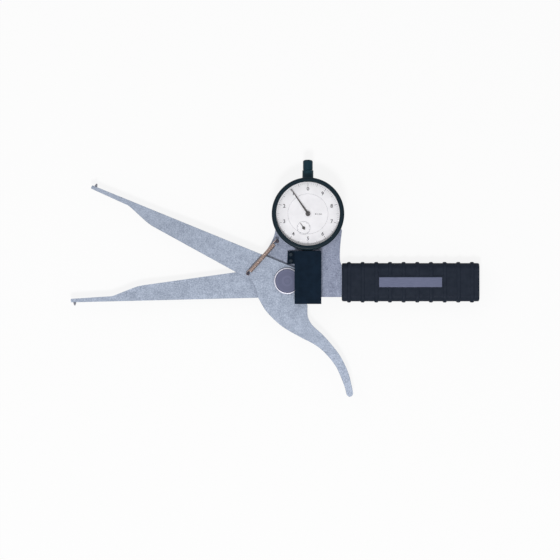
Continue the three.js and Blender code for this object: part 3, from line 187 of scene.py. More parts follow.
def turned_group():
    """Turned metal: fine rings round the pattern's own Z axis."""
    tree, place, size = start_group("turning rings")
    parts = add_node(tree, "SeparateXYZ", {0: place})
    flat = add_node(tree, "CombineXYZ", {"X": parts["X"], "Y": parts["Y"]})[0]
    reach = add_node(tree, "VectorMath", {0: flat}, operation="LENGTH")["Value"]
    around = add_node(tree, "CombineXYZ", {"X": reach, "Z": parts["Z"]})[0]
    rings = noise(tree, around, size, 2.5, 3, 0.7)
    return end_group(tree, spread(tree, rings, 0.35, 0.65), rings)


def drawn_group():
    """Drawn or ground metal: streaks along the pattern's own X axis."""
    tree, place, size = start_group("drawn streaks")
    streaks = noise(tree, stretched(tree, place, (0.04, 1.0, 1.0)), size, 2.0, 4, 0.65)
    return end_group(tree, spread(tree, streaks, 0.35, 0.65), streaks)


def handled_group():
    """Handling: soft smudges, with a few thin lighter rubs."""
    tree, place, size = start_group("handling marks")
    smudges = noise(tree, place, size, 1.0, 5, 0.55)
    rubs = noise(tree, stretched(tree, place, (0.15, 1.0, 0.6)), size, 6.0, 5, 0.7)
    return end_group(tree, spread(tree, smudges, 0.4, 0.65), spread(tree, rubs, 0.6, 0.75))


BLASTED = blasted_group()
MOULDED = moulded_group()
PAINTED = painted_group()
TURNED = turned_group()
DRAWN = drawn_group()
HANDLED = handled_group()

SMUDGE_SIZE = 22


# Materials. Tones are the red, green and blue of sRGB, from 0 to 255.
def srgb(red, green, blue):
    def linear(channel):
        share = channel / 255
        return share / 12.92 if share <= 0.04045 else ((share + 0.055) / 1.055) ** 2.4
    return (linear(red), linear(green), linear(blue), 1.0)


def start_material(name):
    material = bpy.data.materials.new(name)
    material.use_nodes = True
    tree = material.node_tree
    return material, tree, tree.nodes["Principled BSDF"]


def mixed_surface(tree, share, first, second):
    surface = add_node(tree, "MixShader", {0: share, 1: first, 2: second})[0]
    set_sockets(tree, tree.nodes["Material Output"], {"Surface": surface})


def pattern_on(tree, place, pattern, size):
    return add_node(tree, "Group", {"Vector": place, "Size": size * MM}, node_tree=pattern)


def finish(name, dark, light, rough, pattern, size, depth, metallic=0.0, specular=0.5,
           centre=None, smudge=0.05, painted_shade_end=None):
    """A surface: two tones, a range of roughness and a bump of `depth`, from one pattern.

    `painted_shade_end` gives two darker tones, which the first two turn to between two places
    along X: painted shade."""
    material, tree, shader = start_material(name)
    place = add_node(tree, "TexCoord")["Object"]
    if centre:
        sockets = {"Vector": place, "Location": metres(centre)}
        place = add_node(tree, "Mapping", sockets, vector_type="TEXTURE")["Vector"]
    detail = pattern_on(tree, place, pattern, size)
    colour = tones(tree, detail["Shade"], srgb(*dark), srgb(*light))
    if painted_shade_end:
        shade_dark, shade_light, start, end = painted_shade_end
        shaded_colour = tones(tree, detail["Shade"], srgb(*shade_dark), srgb(*shade_light))
        along = add_node(tree, "SeparateXYZ", {0: place})["X"]
        colour = tones(tree, spread(tree, along, start * MM, end * MM), colour, shaded_colour)
    marks = pattern_on(tree, place, HANDLED, SMUDGE_SIZE)
    gloss = spread(tree, detail["Shade"], 0, 1, rough[1], rough[0])
    dulling = spread(tree, marks["Shade"], 0, 1, -smudge / 2, smudge)
    bump = add_node(tree, "Bump", {"Distance": depth * MM, "Height": detail["Height"]})
    set_sockets(tree, shader, {
        "Base Color": colour,
        "Metallic": metallic,
        "Specular IOR Level": specular,
        "Roughness": reckon(tree, "ADD", gloss, dulling),
        "Normal": bump["Normal"],
    })
    return material


def crystal_glass():
    """Clear glass that lets the light through to the dial."""
    material, tree, shader = start_material("crystal glass")
    place = add_node(tree, "TexCoord")["Object"]
    marks = pattern_on(tree, place, HANDLED, SMUDGE_SIZE / 2)
    set_sockets(tree, shader, {
        "Base Color": (1, 1, 1, 1),
        "Transmission Weight": 1.0,
        "IOR": 1.45,
        "Roughness": spread(tree, marks["Shade"], 0, 1, 0.0, 0.03),
    })
    rays = add_node(tree, "LightPath")
    lit = reckon(tree, "MAXIMUM", rays["Is Shadow Ray"], rays["Is Diffuse Ray"])
    mixed_surface(tree, lit, shader.outputs[0], add_node(tree, "BsdfTransparent")[0])
    return material


# The plate steel turns to darker tones from X -28 mm to 6 mm: painted shade on the plate's side by
# the gauge.
LEVER_STEEL, PLATE_STEEL_WITH_SHADE = (
    finish(name, (111, 120, 136), (163, 172, 188), (0.42, 0.54), BLASTED, 0.8, 0.02,
           metallic=0.5, specular=0.3, painted_shade_end=painted_shade_end)
    for name, painted_shade_end in (
        ("blasted lever steel", None),
        ("blasted plate steel with painted shade", ((101, 108, 128), (153, 160, 180), -28, 6)),
    )
)
# Walls and steep roundings take a darker steel: partly the cut edges' own finish, partly painted
# shade that draws the plates' dark outlines.
EDGE_STEEL_AND_SHADE = finish("sawn edge steel and painted shade", (74, 76, 96), (108, 112, 130), (0.4, 0.52),
                    DRAWN, 0.5, 0.01, metallic=0.6, specular=0.3)
PIVOT_FACE = finish("turned pivot face", (75, 78, 99), (92, 95, 118), (0.34, 0.46),
                    TURNED, 1.0, 0.006, metallic=0.7, centre=CENTRE)
# The pivot rim's near-white finish is a painted highlight: the bright ring that light makes on the
# head's chamfer.
PIVOT_EDGE_HIGHLIGHT = finish("pivot edge with painted highlight", (206, 206, 220), (228, 227, 238), (0.4, 0.5),
                    TURNED, 0.6, 0.004, metallic=0.35, specular=0.3, centre=CENTRE)
PIN_STEEL = finish("bright pin steel", (176, 180, 190), (208, 212, 220), (0.16, 0.26),
                   TURNED, 0.5, 0.004, metallic=1)
CONTACT_CARBIDE = finish("ground contact carbide", (112, 113, 122), (142, 143, 152), (0.26, 0.38),
                         TURNED, 0.4, 0.003, metallic=0.9)
NUT_STEEL = finish("plated nut steel", (150, 152, 160), (184, 186, 194), (0.24, 0.36),
                   DRAWN, 0.8, 0.01, metallic=1)
SCREW_STEEL = finish("blued screw steel", (22, 32, 42), (34, 46, 56), (0.3, 0.42),
                     TURNED, 0.4, 0.006, metallic=0.7)
POST_STEEL = finish("dark post steel", (42, 40, 50), (66, 62, 72), (0.28, 0.4),
                    TURNED, 0.4, 0.006, metallic=0.8)
SPRING_WIRE = finish("drawn spring wire", (150, 130, 124), (200, 180, 170), (0.28, 0.4),
                     DRAWN, 0.4, 0.006, metallic=0.8)
BRASS = finish("satin brass", (176, 140, 74), (204, 170, 100), (0.26, 0.4),
               TURNED, 0.8, 0.008, metallic=1, centre=DIAL_CENTRE)
BLOCK_PAINT = finish("black cover paint", (3, 20, 35), (9, 28, 45), (0.42, 0.52),
                     PAINTED, 0.5, 0.01, specular=0.06)
BEZEL_BLACK = finish("black bezel", (8, 26, 34), (20, 38, 48), (0.3, 0.4),
                     TURNED, 0.7, 0.005, specular=0.1, centre=DIAL_CENTRE)
CASE_BLACK = finish("black case", (18, 26, 32), (28, 38, 45), (0.34, 0.46),
                    PAINTED, 0.6, 0.008, specular=0.14)
CAP_BLACK = finish("black cap", (10, 40, 52), (22, 52, 64), (0.34, 0.46),
                   PAINTED, 0.5, 0.006, specular=0.12)
HANDLE_BLACK = finish("moulded handle black", (22, 30, 42), (32, 39, 52), (0.52, 0.62),
                      MOULDED, 0.45, 0.02, specular=0.1)
BADGE_SILVER = finish("badge silver", (80, 85, 108), (96, 101, 124), (0.36, 0.46),
                      DRAWN, 0.5, 0.003, metallic=0.5, specular=0.3)
DIAL_WHITE = finish("dial white", (238, 237, 241), (247, 246, 250), (0.5, 0.6),
                    PAINTED, 0.8, 0.002, specular=0.2, smudge=0.0)
INK = finish("dial ink", (38, 38, 48), (52, 52, 62), (0.5, 0.6),
             PAINTED, 0.3, 0.001, specular=0.1, smudge=0.0)
POINTER_INK = finish("pointer dark", (24, 18, 22), (36, 28, 32), (0.4, 0.5),
                     PAINTED, 0.4, 0.002, specular=0.15, smudge=0.0)
PALE_INK = finish("pale dial ink", (128, 128, 140), (146, 146, 158), (0.5, 0.6),
                  PAINTED, 0.3, 0.001, specular=0.1, smudge=0.0)
GLASS = crystal_glass()


# Modelling.
def deselect():
    if bpy.context.object and bpy.context.object.mode != "OBJECT":
        bpy.ops.object.mode_set(mode="OBJECT")
    bpy.ops.object.select_all(action="DESELECT")


def choose(obj):
    deselect()
    obj.select_set(True)
    bpy.context.view_layer.objects.active = obj


def named(name):
    obj = bpy.context.object
    obj.name = name
    obj.data.name = name
    return obj


def edit(obj, kind="FACE", action="SELECT"):
    """Edit mode, with all of a piece selected or none of it."""
    choose(obj)
    bpy.ops.object.mode_set(mode="EDIT")
    bpy.ops.mesh.select_mode(type=kind)
    bpy.ops.mesh.select_all(action=action)


def edit_some(obj, kind, chosen):
    """Edit mode, with only the chosen vertices or edges selected."""
    choose(obj)
    mesh = obj.data
    for part in (mesh.vertices, mesh.edges, mesh.polygons):
        part.foreach_set("select", [False] * len(part))
    for item in mesh.vertices if kind == "VERT" else mesh.edges:
        item.select = chosen(item)
    bpy.context.tool_settings.mesh_select_mode = (kind == "VERT", kind == "EDGE", False)
    bpy.ops.object.mode_set(mode="EDIT")


def leave_edit():
    bpy.ops.object.mode_set(mode="OBJECT")


def settle(obj, turn=CENTRE, place=CENTRE):
    """Turns and places a piece, and puts its place into its mesh."""
    choose(obj)
    obj.rotation_euler = turn
    obj.location = metres(place)
    bpy.ops.object.transform_apply(location=True, rotation=True, scale=True)


def soften(obj, width, steps=2, sharpness=35):
    """Rounds every sharp edge."""
    edit(obj, "EDGE", "DESELECT")
    bpy.ops.mesh.edges_select_sharp(sharpness=radians(sharpness))
    bpy.ops.mesh.bevel(offset=width * MM, segments=steps, affect="EDGES", clamp_overlap=True)
    leave_edit()


def outward(obj):
    edit(obj)
    bpy.ops.mesh.remove_doubles(threshold=0.0005 * MM)
    bpy.ops.mesh.normals_make_consistent(inside=False)
    leave_edit()


def smooth(obj, angle=32, axes=(2,)):
    """Shades a piece round, apart from the wide faces that lie square to the given axes."""
    nearly_square, wide = 0.995, 0.4 * MM * MM
    choose(obj)
    bpy.ops.object.shade_smooth_by_angle(angle=radians(angle))
    for face in obj.data.polygons:
        square = any(abs(face.normal[axis]) > nearly_square for axis in axes)
        if square and face.area > wide:
            face.use_smooth = False


def turned(name, profile, sides, turn=CENTRE, place=CENTRE, edge=0.0):
    """A turned piece: a circle, extruded and resized from each (radius, height) to the next.

    A profile that ends where it starts makes a ring, and any other one a solid."""
    deselect()
    radius, height = profile[0]
    fill = "NOTHING" if profile[-1] == profile[0] else "NGON"
    bpy.ops.mesh.primitive_circle_add(vertices=sides, radius=radius * MM, fill_type=fill)
    obj = named(name)
    edit(obj, "VERT")
    bpy.ops.transform.translate(value=(0, 0, height * MM))
    for next_radius, next_height in profile[1:]:
        rise = (next_height - height) * MM
        bpy.ops.mesh.extrude_region_move(TRANSFORM_OT_translate={"value": (0, 0, rise)})
        grow = next_radius / radius
        bpy.ops.transform.resize(value=(grow, grow, 1), center_override=(0, 0, next_height * MM))
        radius, height = next_radius, next_height
    outward(obj)
    settle(obj, turn, place)
    if edge:
        soften(obj, edge)
    smooth(obj)
    return obj


def ring_profile(inner, outer, low, high):
    return [(inner, low), (outer, low), (outer, high), (inner, high), (inner, low)]


def rounding(start, pull, end, steps):
    """A profile's points on the bend from start to end that leans towards pull."""
    points = [start]
    for step in range(1, steps + 1):
        t = step / steps
        points.append(tuple(
            (1 - t) ** 2 * a + 2 * t * (1 - t) * b + t * t * c for a, b, c in zip(start, pull, end)
        ))
    return points


def box(name, lowest, highest, edge=0.0, steps=2):
    """A block between two corners, with its edges rounded."""
    deselect()
    centre = metres((a + b) / 2 for a, b in zip(lowest, highest))
    bpy.ops.mesh.primitive_cube_add(size=1, location=centre)
    obj = named(name)
    obj.scale = metres(b - a for a, b in zip(lowest, highest))
    bpy.ops.object.transform_apply(location=True, rotation=True, scale=True)
    if edge:
        soften(obj, edge, steps)
    smooth(obj, axes=(0, 1, 2))
    return obj


def trim(obj, tool, how="DIFFERENCE"):
    """Cuts a piece by the tool's shape, or joins the two, and removes the tool."""
    choose(obj)
    cutter = obj.modifiers.new("trim", "BOOLEAN")
    cutter.operation = how
    cutter.solver = "EXACT"
    cutter.object = tool
    bpy.ops.object.modifier_apply(modifier=cutter.name)
    bpy.data.objects.remove(tool, do_unlink=True)


def bore(piece, radius, low, high, sides=SMALL_SIDES, turn=CENTRE, place=CENTRE):
    """Cuts a round hole between two heights."""
    trim(piece, turned("bore", [(radius, low), (radius, high)], sides, turn, place))


def joined(name, pieces):
    choose(pieces[0])
    for piece in pieces:
        piece.select_set(True)
    bpy.ops.object.join()
    return named(name)


def again(obj, name):
    """A copy of a piece, with its own mesh."""
    twin = obj.copy()
    twin.data = obj.data.copy()
    bpy.context.scene.collection.objects.link(twin)
    twin.name = name
    twin.data.name = name
    return twin


def add_line(curve, points, closed):
    """A straight-sided line through the points. A point in the plane has no height."""
    line = curve.splines.new("POLY")
    line.points.add(len(points) - 1)
    for knot, point in zip(line.points, points):
        knot.co = (*metres((*point, 0)[:3]), 1)
    line.use_cyclic_u = closed


def mesh_of(curve, name):
    obj = bpy.data.objects.new(name, curve)
    bpy.context.scene.collection.objects.link(obj)
    choose(obj)
    bpy.ops.object.convert(target="MESH")
    return named(name)


def sheet(name, outlines, low, high):
    """A flat sheet between two levels. Outlines after the first are holes."""
    flat = bpy.data.curves.new(name, "CURVE")
    flat.dimensions = "2D"
    flat.fill_mode = "BOTH"
    flat.extrude = (high - low) / 2 * MM
    for points in outlines:
        add_line(flat, points, True)
    obj = mesh_of(flat, name)
    settle(obj, place=(0, 0, (low + high) / 2))
    outward(obj)
    return obj


def wire(name, points, thickness, sides):
    """A closed round wire along a line of points."""
    line = bpy.data.curves.new(name, "CURVE")
    line.dimensions = "3D"
    line.bevel_depth = thickness / 2 * MM
    line.bevel_resolution = sides // 2 - 2
    line.use_fill_caps = True
    add_line(line, points, False)
    obj = mesh_of(line, name)
    outward(obj)
    smooth(obj, 50)
    return obj


def dress(obj, material):
    obj.data.materials.clear()
    obj.data.materials.append(material)


def dress_also(obj, material, chosen):
    """Gives the chosen faces of a piece a second finish."""
    obj.data.materials.append(material)
    for face in obj.data.polygons:
        if chosen(face):
            face.material_index = 1


def carry(piece, body, material, slot, *nodes):
    """Gives a piece its body and finish, and hides the solids that it stands for. The slot is not
    used.
    """
    dress(piece, material)
    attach(piece, body)
    if nodes:
        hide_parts(*nodes)


def stretch(spring, node, start, end):
    """Gives a spring its finish and hides the solid that it stands for. The start and end are not
    used.
    """
    dress(spring, SPRING_WIRE)
    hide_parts(node)
    metres(start)
    metres(end)
    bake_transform(spring)


# Outlines of the plates.
ARM_REACH = 171.5
FINGER_START = 138.5
TAPER_START = 118.0
CROTCH = 40.2
LEVER_EDGE, PLATE_EDGE = 11.9, 12.7
LEVER_AT, FIXED_AT = radians(157.8), radians(181.4)
SWING = radians(17)
ANVIL_REACH = 17
STOP_RADIUS = 1.6
WIDENING = 9.0 / 77.8
TANG_ROOT = 43.1

# The arms change their level between two bends, each rounded over a length on both sides.
FIRST_BEND, LAST_BEND = 82, 116
BEND_HALF = 4


def polar(radius, angle):
    return Vector((radius * cos(angle), radius * sin(angle)))


ANVIL = polar(ANVIL_REACH, -SWING / 2)
STOP = ANVIL + polar(6.2, radians(-95.7))


def on_lever(along, across):
    return polar(along, LEVER_AT) + polar(across, LEVER_AT - pi / 2)


def on_fixed_arm(along, across):
    return polar(along, FIXED_AT) + polar(across, FIXED_AT + pi / 2)


def arc(centre, radius, start, end, steps):
    return [centre + polar(radius, start + (end - start) * i / steps) for i in range(steps + 1)]


def hole(place, radius, sides=24):
    return arc(Vector(place), radius, 0, TURN, sides)[:-1]


def bend(start, pull, end, steps=12):
    points = []
    for i in range(steps + 1):
        s = i / steps
        points.append(start * (1 - s) ** 2 + pull * (2 * s * (1 - s)) + end * s * s)
    return points


def rounded(before, corner, after, cut):
    """A bend in place of a corner, from and to where the cut reaches on both sides."""
    start = corner + (before - corner).normalized() * cut
    end = corner + (after - corner).normalized() * cut
    return bend(start, corner, end)


def flowing(points):
    """A smooth line through the points."""
    line, steps = [], 8
    last = len(points) - 1
    for i in range(last):
        p0, p1, p2, p3 = (points[min(max(i + k, 0), last)] for k in (-1, 0, 1, 2))
        v0, v1 = (p2 - p0) / 2, (p3 - p1) / 2
        cubic = 2 * p1 - 2 * p2 + v0 + v1
        square = 3 * p2 - 3 * p1 - 2 * v0 - v1
        for step in range(steps):
            s = step / steps
            line.append(cubic * s ** 3 + square * s * s + v0 * s + p1)
    return line + [points[last]]


def arm_root(place, edge, along):
    """A point on the arm's inner edge where it widens towards the hub."""
    return place(along, edge - 20.7 - WIDENING * (CROTCH - along))


def inner_edge(place, edge, end):
    """From the finger's outer corner round its end, and along the inner edge to the end."""
    corner = place(ARM_REACH, edge)
    tip = place(ARM_REACH, edge - 2.8)
    root = place(FINGER_START, edge - 4.1)
    heel = place(TAPER_START, edge - 11.7)
    last = arm_root(place, edge, end)
    return [
        *rounded(place(100, edge), corner, tip, 0.9),
        *rounded(corner, tip, root, 0.7),
        *rounded(tip, root, heel, 2),
        *rounded(root, heel, last, 5),
        last,
    ]


def between(start, end, share_x, share_y):
    return Vector((start.x + (end.x - start.x) * share_x, start.y + (end.y - start.y) * share_y))


def carrier_edge():
    """From the fixed arm's root round the gauge's seat to the tang."""
    seat_radius, seat_low = 26.4, DIAL_Y - 12.2
    centre = Vector((DIAL_X, DIAL_Y))
    foot = arm_root(on_fixed_arm, PLATE_EDGE, 30)
    left = Vector((DIAL_X - 25.7, seat_low))
    right = Vector((DIAL_X + 27.1, seat_low))
    waist = Vector((DIAL_X + 25.4, PLATE_EDGE + 5.5))
    shoulder = Vector((TANG_ROOT, PLATE_EDGE))
    seat = arc(centre, seat_radius, radians(200), radians(-20), 96)
    corner = rounded(seat[-1], right, waist, 1.6)
    return [
        *bend(foot, between(foot, left, 0.96, 0.62), left, 16),
        *seat,
        *corner,
        *bend(corner[-1], between(right, waist, 1.15, 0.65), waist, 16)[1:],
        *bend(waist, between(waist, shoulder, 0.05, 0.55), shoulder, 16)[1:],
    ]


def tang_edge():
    top, low = HANDLE_Y + 9.5, HANDLE_Y - 9.5
    ends = (TANG_ROOT, top), (TANG_END, top), (TANG_END, low), (TANG_ROOT, low)
    corners = [Vector(end) for end in ends]
    return [
        corners[0],
        *rounded(*corners[:3], 3),
        *rounded(*corners[1:], 3),
        corners[3],
        Vector((TANG_ROOT, -PLATE_EDGE)),
        on_fixed_arm(0, PLATE_EDGE),
    ]


# The trigger, in shares of its breadth and length.
TRIGGER_SIZE = (52, 91.6)
TRIGGER_FRONT = (
    (0.305, 0.2055), (0.307, 0.257), (0.318, 0.3155), (0.3865, 0.383), (0.544, 0.466),
    (0.677, 0.551), (0.794, 0.6365), (0.879, 0.726), (0.94, 0.811), (0.976, 0.897),
    (0.997, 0.952), (0.9985, 0.9755), (0.983, 0.9915), (0.951, 0.9995), (0.918, 0.991),
    (0.9, 0.974), (0.893, 0.954),
)
TRIGGER_BACK = (
    (0.893, 0.954), (0.8635, 0.897), (0.8, 0.808), (0.727, 0.726), (0.575, 0.621),
    (0.423, 0.551), (0.194, 0.4825), (-0.033, 0.409), (-0.185, 0.3405), (-0.333, 0.25),
    (-0.44, 0.145),
)
LEVER_HEEL = ((-0.44, 0.145), (-0.472, 0.078), (-0.515, 0.02), (-0.568, -0.017))


def trigger_points(shares):
    breadth, length = TRIGGER_SIZE
    return [Vector((x * breadth, -y * length)) for x, y in shares]


def lever_outline():
    """The moving arm, the ear round the anvil, the notch for the stop, and the trigger."""
    ear_radius, notch_radius = 4.6, 14.5
    sides = ANVIL_REACH ** 2 + notch_radius ** 2 - ear_radius ** 2
    ear_meets = acos(sides / (2 * ANVIL_REACH * notch_radius))
    notch_top = -SWING / 2 - ear_meets
    joint = polar(notch_radius, notch_top) - ANVIL
    stop_breadth = asin(STOP_RADIUS / STOP.length)
    notch_foot = atan2(STOP.y, STOP.x) - SWING - stop_breadth
    joint_angle = atan2(joint.y, joint.x)
    if joint_angle > 0:
        joint_angle -= TURN
    return [
        *inner_edge(on_lever, LEVER_EDGE, CROTCH)[::-1],
        on_lever(-5, LEVER_EDGE),
        *arc(ANVIL, ear_radius, radians(60), joint_angle, 28),
        *arc(Vector((0, 0)), notch_radius, notch_top, notch_foot, 8)[1:],
        *flowing([polar(21, notch_foot), *trigger_points(TRIGGER_FRONT)]),
        *flowing(trigger_points(TRIGGER_BACK))[1:],
        *flowing(trigger_points(LEVER_HEEL))[1:],
    ]


def lifted(reach):
    """How far the arm's offset has gone at this reach, from 0 to 1."""
    run = LAST_BEND - FIRST_BEND
    if reach < FIRST_BEND + BEND_HALF:
        return max(reach - (FIRST_BEND - BEND_HALF), 0) ** 2 / (4 * BEND_HALF) / run
    if reach > LAST_BEND - BEND_HALF:
        return 1 - max(LAST_BEND + BEND_HALF - reach, 0) ** 2 / (4 * BEND_HALF) / run
    return (reach - FIRST_BEND) / run


def plate_of(name, outline, holes, low, high, direction, rise):
    """A plate: a flat outline with holes, made thick, with its arm bent to another level."""
    plate = sheet(name, (outline, *holes), low, high)
    edit(plate)
    bpy.ops.mesh.dissolve_limited(angle_limit=radians(0.2))
    away = polar(1, direction).to_3d()
    for middle in (FIRST_BEND, LAST_BEND):
        for step in (-1, -0.5, 0, 0.5, 1):
            reach = middle + step * BEND_HALF
            bpy.ops.mesh.select_all(action="SELECT")
            bpy.ops.mesh.bisect(plane_co=away * reach * MM, plane_no=away, threshold=1e-7)
    leave_edit()
    lifts = {}
    for vertex in plate.data.vertices:
        lift = round(rise * lifted(vertex.co.dot(away) / MM), 4)
        lifts.setdefault(lift, set()).add(vertex.index)
    for lift, members in lifts.items():
        edit_some(plate, "VERT", lambda vertex: vertex.index in members)
        bpy.ops.transform.translate(value=(0, 0, lift * MM))
    leave_edit()
    soften(plate, 0.45, 3)
    smooth(plate)
    return plate


def is_wall(face):
    return abs(face.normal.z) < 0.93


def contact_seat(place, edge):
    return (*place(CONTACT_REACH, edge), CONTACT_Z)


def contact_bore(plate, place, edge, turn):
    bore(plate, 0.9, -2, 1, turn=(-pi / 2, 0, turn), place=contact_seat(place, edge))
    smooth(plate)


def plates():
    outline = [*inner_edge(on_fixed_arm, PLATE_EDGE, 30), *carrier_edge()[1:], *tang_edge()]
    holes = [
        hole((0, 0), 5.1, 48),
        hole(UPPER_POST, 1.2),
        hole(STOP, STOP_RADIUS),
        *(hole(place, 1.0) for place in COVER_SCREWS),
        *(hole(place, SCREW_HOLE) for place in CASE_SCREWS),
        *(hole(place, SCREW_HOLE, sides) for place, sides in zip(HANDLE_SCREWS, (24, 22, 24))),
    ]
    plate = plate_of("fixed_arm_plate", outline, holes, PLATE_LOW, PLATE_HIGH, FIXED_AT, 2.4)
    contact_bore(plate, on_fixed_arm, PLATE_EDGE, FIXED_AT)
    # The plate's steel darkens towards the gauge: painted shade.
    carry(plate, "frame", PLATE_STEEL_WITH_SHADE, "steel", "body_plate")
    # Darker walls and roundings: partly the edges' own finish, partly painted shade.
    dress_also(plate, EDGE_STEEL_AND_SHADE, is_wall)

    holes = [hole((0, 0), 5.2, 48), hole(ANVIL, 2.1), hole(LOWER_POST, 1.2)]
    lever = plate_of("trigger_lever", lever_outline(), holes,
                     LEVER_LOW, LEVER_HIGH, LEVER_AT, -1.9)
    contact_bore(lever, on_lever, LEVER_EDGE, LEVER_AT - pi)
    carry(lever, "lever", LEVER_STEEL, "steel", "jaw_lever")
    # Darker walls and roundings: partly the edges' own finish, partly painted shade.
    dress_also(lever, EDGE_STEEL_AND_SHADE, is_wall)


def contacts():
    """A pin with a round nose at the end of each arm."""
    nose_radius, nose_middle = 0.55, 2.05
    nose = [
        (nose_radius * cos(radians(angle)), nose_middle + nose_radius * sin(radians(angle)))
        for angle in (30, 40, 50, 60, 70, 80, 86)
    ]
    profile = [(0.8, -1.9), (0.8, 0.2), (1.2, 0.2), (1.3, 0.3), *nose]
    for name, node, body, place, edge, turn in (
        ("fixed_contact", "contact_fixed", "frame", on_fixed_arm, PLATE_EDGE, FIXED_AT),
        ("moving_contact", "contact_moving", "lever", on_lever, LEVER_EDGE, LEVER_AT - pi),
    ):
        pin = turned(name, profile, SMALL_SIDES, (-pi / 2, 0, turn), contact_seat(place, edge))
        carry(pin, body, CONTACT_CARBIDE, "bright_steel", node)


def is_rim(face):
    reach = hypot(face.center.x, face.center.y) / MM
    return 9.5 < reach < 10.49 and face.center.z > 15.7 * MM


def pivot():
    rim = rounding((9.55, 16.4), (10.25, 16.36), (10.45, 15.8), 6)[::-1]
    groove = [(9.4, 16.2), (9.35, 15.8), (8.95, 15.8), (8.85, 16.2)]
    shank = [(3.6, 0), (4, 0.4), (4, 6.2), (5, 6.2), (5, 14)]
    head = [(10.3, 14), (10.5, 14.2), (10.5, 15.6)]
    bolt = turned("pivot_bolt_turned", [*shank, *head, *rim, *groove], LARGE_SIDES)
    carry(bolt, "frame", PIVOT_FACE, "dark_steel", "pivot_bolt")
    # The rim faces take the painted highlight.
    dress_also(bolt, PIVOT_EDGE_HIGHLIGHT, is_rim)

    nut = turned("pivot_nut_plated", [(7.5, 0), (7.5, 4.6)], 6, (0, 0, radians(-90)))
    crown = turned("nut_crown", [(6.7, -0.6), (7.5, 0.3), (7.5, 4.3), (6.7, 5.2)], MIDDLE_SIDES)
    trim(nut, crown, "INTERSECT")
    bore(nut, 4.1, -1, 6, MIDDLE_SIDES)
    soften(nut, 0.12)
    smooth(nut)
    carry(nut, "frame", NUT_STEEL, "steel", "pivot_nut")

    for name, node, profile, material, slot in (
        ("rear_washer", "pivot_rear_washer", ring_profile(4.1, 8.4, 4.8, 5.8), NUT_STEEL,
         "bright_steel"),
        ("slip_washer", "pivot_slip_washer", ring_profile(5.1, 9.0, 10.2, 10.6), BRASS, "brass"),
    ):
        ring = turned(name, profile, MIDDLE_SIDES, edge=0.08)
        carry(ring, "frame", material, slot, node)


def spring_posts():
    for name, place, floor, body, node in (
        ("upper_spring_post", UPPER_POST, PLATE_HIGH, "frame", "spring_post_fixed"),
        ("lower_spring_post", LOWER_POST, LEVER_HIGH, "lever", "spring_post_lever"),
    ):
        profile = [
            (1.1, floor - 2.6), (1.1, floor + 0.2), (1.35, floor + 0.2), (1.35, 15.45),
            (0.85, 15.45), (0.85, 16.45), (1.35, 16.45), (1.35, 16.8), (1.15, 17.0),
        ]
        pin = turned(name, profile, SMALL_SIDES, place=(*place, 0), edge=0.05)
        carry(pin, body, POST_STEEL, "dark_steel", node)


def return_spring():
    """Close curls between the two posts, with an open hook round each."""
    away = Vector(UPPER_POST) - Vector(LOWER_POST)
    span = away.length
    along = away.normalized()
    side = Vector((-along.y, along.x))
    curls, pitch, coil_radius, curl_steps = 40, 0.72, 1.45, 24
    hook_radius, hook_steps = 1.25, 22
    lead_length, lead_side = 1.2, 1.4
    coil = curls * pitch
    start = (span - coil) / 2 - 0.4

    def place(x, across, up):
        point = Vector(LOWER_POST) + along * x + side * across
        return (point.x, point.y, SPRING_Z + up)

    def hook(centre, direction):
        points = []
        for step in range(hook_steps + 1):
            angle = pi / 2 + radians(220) * step / hook_steps
            reach = direction * hook_radius * cos(angle)
            points.append((centre - reach, hook_radius * sin(angle), 0.0))
        return points

    points = [*hook(0.0, -1)[::-1], (start - lead_length, lead_side, 0.0)]
    for i in range(curls * curl_steps + 1):
        turn = TURN * i / curl_steps
        along_coil = start + pitch * i / curl_steps
        points.append((along_coil, coil_radius * cos(turn), coil_radius * sin(turn)))
    points += [(start + coil + lead_length, lead_side, 0.0), *hook(span, 1)]
    spring = wire("lever_return_spring", [place(*point) for point in points], 0.6, 10)
    stretch(spring, "return_spring", place(0, 0, 0), place(span, 0, 0))


def cover():
    """The box over the anvil: a copy of the solid, merged, with its edges rounded."""
    shell = again(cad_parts["transfer_cover"], "anvil_cover")
    for key in list(shell.keys()):
        del shell[key]
    shell.parent = None
    edit(shell)
    bpy.ops.mesh.remove_doubles(threshold=0.001 * MM)
    bpy.ops.mesh.dissolve_limited(angle_limit=radians(0.5))
    leave_edit()
    soften(shell, 0.25, 3)
    smooth(shell, axes=(0, 1, 2))
    carry(shell, "frame", BLOCK_PAINT, "black_paint", "transfer_cover")


def slotted_screw(name, head_radius, head_thick, radius, length, turn, place):
    """A screw with a slotted head, its head's seat at its place and its shank going down."""
    slot_half, slot_depth = 0.35, 0.6
    screw = turned(
        name,
        [(radius - 0.2, -length), (radius, 0.2 - length), (radius, 0), (head_radius - 0.1, 0),
         (head_radius, 0.1), (head_radius, head_thick - 0.25), (head_radius - 0.25, head_thick)],
        SMALL_SIDES,
    )
    reach = head_radius + 1
    trim(screw, box("slot", (-reach, -slot_half, head_thick - slot_depth),
                    (reach, slot_half, head_thick + 1)))
    soften(screw, 0.04, 1, 50)
    settle(screw, turn, place)
    smooth(screw)
    return screw


def screws():
    """The cover's screws from the front, and those of the case and handle from behind."""
    for kind, places, level, sizes, tilt, turn, turn_step, material, slot in (
        ("cover", COVER_SCREWS, 12.4, (1.5, 0.8, 0.9, 6), 0, 24, 40, SCREW_STEEL, "dark_steel"),
        ("case", CASE_SCREWS, 5.8, (2.7, 1.8, 1.5, 5.4), pi, 15, 55, NUT_STEEL, "steel"),
        ("handle", HANDLE_SCREWS, 2.0, (2.7, 1.7, 1.5, 11.0), pi, 70, -35, NUT_STEEL, "steel"),
    ):
        for i, place in enumerate(places):
            screw = slotted_screw(f"{kind}_screw_slotted_{i + 1}", *sizes,
                                  (tilt, 0, radians(turn + turn_step * i)), (*place, level))
            carry(screw, "frame", material, slot, f"{kind}_screw_{i + 1}")


